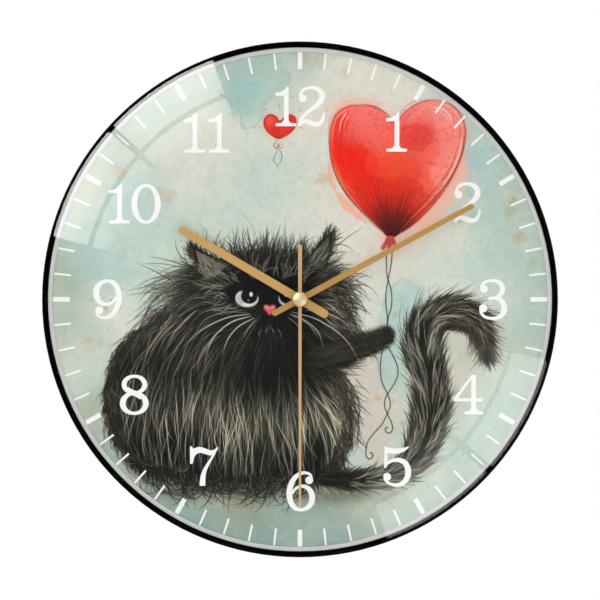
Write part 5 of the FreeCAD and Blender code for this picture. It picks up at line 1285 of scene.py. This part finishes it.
M = {
    "frame_ring": case_material(),
    "rear_cover": moulded("cover_black", (37, 38, 40), 0.58, 0.16, 0.00008, 1500),
    "hanger_plate": metal("zinc_plate", (188, 192, 196), 0.34, 0.10, (1, 1, 0.06)),
    "hanger_rivets": metal("rivet_black", (52, 53, 56), 0.36, 0.2),
    "rear_cover_screws": metal("screw_black", (46, 46, 48), 0.38, 0.2),
    "lens": lens_material(),
    "lens_adhesive_ring": moulded("foam_black", (7, 7, 7), 0.9, 0.2, 0.0001, 1400, Specular_IOR_Level=0.1),
    "spacer_ring": moulded("spacer_grey", (201, 202, 197), 0.5, 0.04, 0.00002, 1800),
    "dial_plate": moulded("dial_board_grey", (186, 182, 172), 0.85, 0.05, 0.00006, 1300),
    "movement_front_case": moulded("movement_black", (16, 16, 18), 0.36, 0.14, 0.00005, 2300),
    "movement_rear_cover": moulded("movement_cover_black", (17, 17, 19), 0.34, 0.14, 0.00005, 2300),
    "train_plate": moulded("plate_white", (214, 212, 204), 0.45, 0.05),
    "train_plate_screws": metal("screw_zinc", (178, 181, 184), 0.3, 0.1),
    "stator": metal("stator_steel", (142, 146, 150), 0.36, 0.08, (1, 1, 0.1)),
    "coil_core": metal("core_steel", (142, 146, 150), 0.36, 0.08, (1, 1, 0.1)),
    "coil_bobbin": moulded("bobbin_ivory", (220, 214, 190), 0.4, 0.05),
    "coil_winding": wound(),
    "circuit_board": board_material(),
    "control_chip": moulded("chip_resin", (18, 18, 20), 0.3, 0.2),
    "quartz_crystal": metal("crystal_can", (196, 198, 200), 0.22, 0.06),
    "battery_positive_contact": metal("nickel_strip_pos", (196, 192, 180), 0.26, 0.08, (1, 1, 0.08)),
    "battery_negative_contact": metal("nickel_strip_neg", (196, 192, 180), 0.26, 0.08, (1, 1, 0.08)),
    "battery_cell": battery_jacket(),
    "battery_positive_cap": metal("cell_cap", (200, 200, 198), 0.22, 0.06),
    "threaded_bushing": metal("bushing_brass", (202, 172, 110), 0.28, 0.08),
    "rubber_washer": moulded("rubber_black", (22, 22, 22), 0.8, 0.2, 0.00006),
    "brass_washer": metal("washer_black_brass", (44, 38, 28), 0.45, 0.06, (1, 1, 1), 700, 0.6),
    "hex_nut": metal("nut_black_brass", (48, 42, 31), 0.42, 0.06, (1, 0.1, 1), 700, 0.6),
    "second_wheel": moulded("wheel_white_a", (226, 224, 216), 0.4, 0.04),
    "second_arbor": metal("arbor_steel", (186, 188, 190), 0.2, 0.06),
    "third_wheel": moulded("wheel_amber_a", (212, 150, 66), 0.4, 0.08),
    "intermediate_wheel": moulded("wheel_white_b", (226, 224, 216), 0.4, 0.04),
    "rotor_pinion": moulded("wheel_white_c", (226, 224, 216), 0.4, 0.04),
    "rotor_magnet": metal("magnet_grey", (92, 92, 96), 0.45, 0.1),
    "centre_wheel": moulded("wheel_white_d", (226, 224, 216), 0.4, 0.04),
    "clutch_spring": metal("spring_steel", (176, 178, 182), 0.24, 0.08),
    "minute_pipe": moulded("pipe_amber", (206, 148, 70), 0.4, 0.08),
    "motion_wheel": moulded("wheel_white_e", (226, 224, 216), 0.4, 0.04),
    "hour_wheel": moulded("wheel_white_f", (226, 224, 216), 0.4, 0.04),
    "setting_shaft": moulded("shaft_white", (224, 222, 214), 0.4, 0.04),
    "setting_knob": moulded("knob_grey", (66, 67, 70), 0.36, 0.10, 0.00004),
    "hour_hand": metal("hand_gold_pale", (214, 172, 106), 0.42, 0.11, (1, 1, 1), 1300, 0.35),
    "hour_hand_collet": metal("collet_brass_a", (214, 178, 112), 0.3, 0.06, (1, 1, 1), 900, 0.7),
    "minute_hand": metal("hand_gold_deep", (198, 152, 84), 0.42, 0.11, (1, 1, 1), 1300, 0.35),
    "minute_hand_collet": metal("collet_brass_b", (206, 168, 100), 0.3, 0.06, (1, 1, 1), 900, 0.7),
    "second_hand": metal("hand_rose", (216, 178, 128), 0.4, 0.05, (1, 1, 1), 1600, 0.35),
    "second_hand_tube": metal("tube_brass", (206, 172, 112), 0.3, 0.06, (1, 1, 1), 900, 0.7),
    "hand_cap": metal("cap_champagne", (238, 216, 168), 0.40, 0.05, (1, 1, 1), 1200, 0.40),
}
for name in NODES:
    if name != "dial_print":
        dress(name, M[name])

sheet = dial_sheet()
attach(sheet, "case")
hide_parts("dial_print")
marks = ink()
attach(marks, "case")

# ---------------------------------------------------------------- floor, light and camera
CAM_D = 12.0
PX = 0.58207e-3


def off_axis(r_px):
    """Direction, off the view axis, that the lens mirrors at this radius on the face, in radians."""
    r = r_px * PX
    if r < 0.108:
        s = r / 1.2391
    else:
        s = (r - 0.09938) / 0.0988
    return 2 * math.asin(min(s, 0.5)) + math.atan(r / CAM_D)


def studio():
    world = bpy.data.worlds.new("studio")
    bpy.context.scene.world = world
    world.use_nodes = True
    t = world.node_tree
    t.nodes.clear()

    def new(kind, **p):
        n = t.nodes.new(kind)
        for k, v in p.items():
            setattr(n, k, v)
        return n

    def put(socket, v):
        if isinstance(v, (int, float)):
            socket.default_value = v
        else:
            t.links.new(v, socket)

    def calc(op, a, b=0.0):
        n = new("ShaderNodeMath", operation=op)
        put(n.inputs[0], a)
        put(n.inputs[1], b)
        return n.outputs[0]

    def ramp(v, a, b, c, d):
        n = new("ShaderNodeMapRange", interpolation_type="SMOOTHSTEP")
        for i, x in enumerate((a, b, c, d)):
            n.inputs[i + 1].default_value = x
        put(n.inputs[0], v)
        return n.outputs[0]

    def line(v, a, b, c, d):
        n = new("ShaderNodeMapRange")
        for i, x in enumerate((a, b, c, d)):
            n.inputs[i + 1].default_value = x
        put(n.inputs[0], v)
        return n.outputs[0]

    def window(v, a, b, s):
        return calc("MULTIPLY", ramp(v, a - s, a + s, 0, 1), ramp(v, b - s, b + s, 1, 0))

    co = new("ShaderNodeTexCoord")
    sep = new("ShaderNodeSeparateXYZ")
    t.links.new(co.outputs["Generated"], sep.inputs[0])
    x, y, z = sep.outputs
    off = calc("ARCCOSINE", calc("MULTIPLY", y, -1.0))
    az = calc("ARCTAN2", z, x)

    def panes(a0, bar, a1, outer, mid, inner, strength):
        """A window of four panes: two rows out by the rim, two fading rows further in."""
        rad = math.radians
        side = window(az, rad(a0), rad(a1), 0.004)
        gap = calc("SUBTRACT", 1.0, window(az, rad(bar[0]), rad(bar[1]), 0.004))
        cut = calc("MULTIPLY", side, gap)
        far = calc("MULTIPLY", window(off, off_axis(218.5), 1.18, 0.006), outer(off))
        near = calc("MULTIPLY", window(off, inner[0], off_axis(213.8), 0.006), ramp(off, inner[0], inner[1], 0, mid))
        return calc("MULTIPLY", calc("MULTIPLY", cut, calc("ADD", far, near)), strength)

    o220, o247, o253 = off_axis(219), off_axis(247), off_axis(252)
    upper = lambda v: calc("ADD", line(v, o220, o247, 3.3, 6.2), line(v, o247, o253, 0.0, 7.6))
    lower = lambda v: line(v, o220, o253, 2.1, 3.0)
    left = panes(110, (137, 139), 165.5, upper, 3.0, (off_axis(172), off_axis(212)), 1.0)
    right = panes(290 - 360, (317 - 360, 319 - 360), 345.8 - 360, lower, 1.8, (off_axis(172), off_axis(212)), 1.0)
    surround = calc("ADD", ramp(off, 1.12, 1.7, 0.006, 0.75), calc("MULTIPLY", ramp(z, -0.2, 0.9, 0.0, 0.35), ramp(off, 1.12, 1.7, 0.0, 1.0)))
    mirrored = calc("ADD", surround, calc("ADD", left, right))
    soft = calc("ADD", ramp(y, 0.0, 0.7, WORLD_LIGHT, 0.42), calc("ADD", calc("MULTIPLY", z, 0.18), calc("MULTIPLY", x, -0.10)))
    path = new("ShaderNodeLightPath")
    seen, glossy, plain = new("ShaderNodeBackground"), new("ShaderNodeBackground"), new("ShaderNodeBackground")
    seen.inputs["Color"].default_value = (1, 1, 1, 1)
    seen.inputs["Strength"].default_value = 1.0
    put(glossy.inputs["Strength"], mirrored)
    glossy.inputs["Color"].default_value = (1, 1, 1, 1)
    put(plain.inputs["Strength"], soft)
    plain.inputs["Color"].default_value = (1, 1, 1, 1)
    a, b = new("ShaderNodeMixShader"), new("ShaderNodeMixShader")
    t.links.new(path.outputs["Is Glossy Ray"], a.inputs[0])
    t.links.new(plain.outputs[0], a.inputs[1])
    t.links.new(glossy.outputs[0], a.inputs[2])
    t.links.new(path.outputs["Is Camera Ray"], b.inputs[0])
    t.links.new(a.outputs[0], b.inputs[1])
    t.links.new(seen.outputs[0], b.inputs[2])
    out = new("ShaderNodeOutputWorld")
    t.links.new(b.outputs[0], out.inputs["Surface"])
    world.cycles.sampling_method = "NONE"


WORLD_LIGHT = 1.16
studio()

floor_mat = Mat("pale_floor")
top = floor_mat.shader(floor_mat.blend(floor_mat.noise(3, 2), (0.80, 0.80, 0.79, 1), (0.84, 0.84, 0.83, 1)), 0.8)
# clear from below, so that the object can be looked at from under the floor
below = floor_mat.node("ShaderNodeNewGeometry")
sheet_mix = floor_mat.node("ShaderNodeMixShader")
floor_mat.link(below.outputs["Backfacing"], sheet_mix.inputs[0])
floor_mat.link(top.outputs[0], sheet_mix.inputs[1])
floor_mat.link(floor_mat.node("ShaderNodeBsdfTransparent").outputs[0], sheet_mix.inputs[2])
floor_mat.link(sheet_mix.outputs[0], floor_mat.out.inputs["Surface"])
floor = add_mesh("floor", [(-1.8, -1.8, -0.56), (1.8, -1.8, -0.56), (1.8, 1.8, -0.56), (-1.8, 1.8, -0.56)], [(0, 1, 2, 3)], floor_mat.m)
floor.visible_glossy = False

key = bpy.data.lights.new("key_behind", "AREA")
key.shape = "DISK"
key.size = 1.2
key.energy = 95
lamp = bpy.data.objects.new("key_behind", key)
lamp.location = (-1.3, 1.9, 1.1)
lamp.rotation_euler = (Vector((0, 0, -0.1)) - lamp.location).to_track_quat("-Z", "Y").to_euler()
bpy.context.scene.collection.objects.link(lamp)
lamp.visible_glossy = False

cam_data = bpy.data.cameras.new("camera")
cam_data.sensor_width = 36.0
cam_data.lens = 36.0 * 1.0012 * (CAM_D - 0.02495) / (600 * PX)
cam_data.clip_start = 0.05
cam_data.clip_end = 60
cam = bpy.data.objects.new("camera", cam_data)
cam.location = (0.0, -CAM_D, AXIS_Z - 0.64 * PX)
cam.rotation_euler = (math.pi / 2, 0, 0)
bpy.context.scene.collection.objects.link(cam)
bpy.context.scene.camera = cam
view = bpy.context.scene.view_settings
view.view_transform = "Standard"
view.look = "None"
view.exposure = 0.0
view.gamma = 1.0
bpy.context.scene.cycles.transparent_max_bounces = 24

bpy.context.view_layer.update()
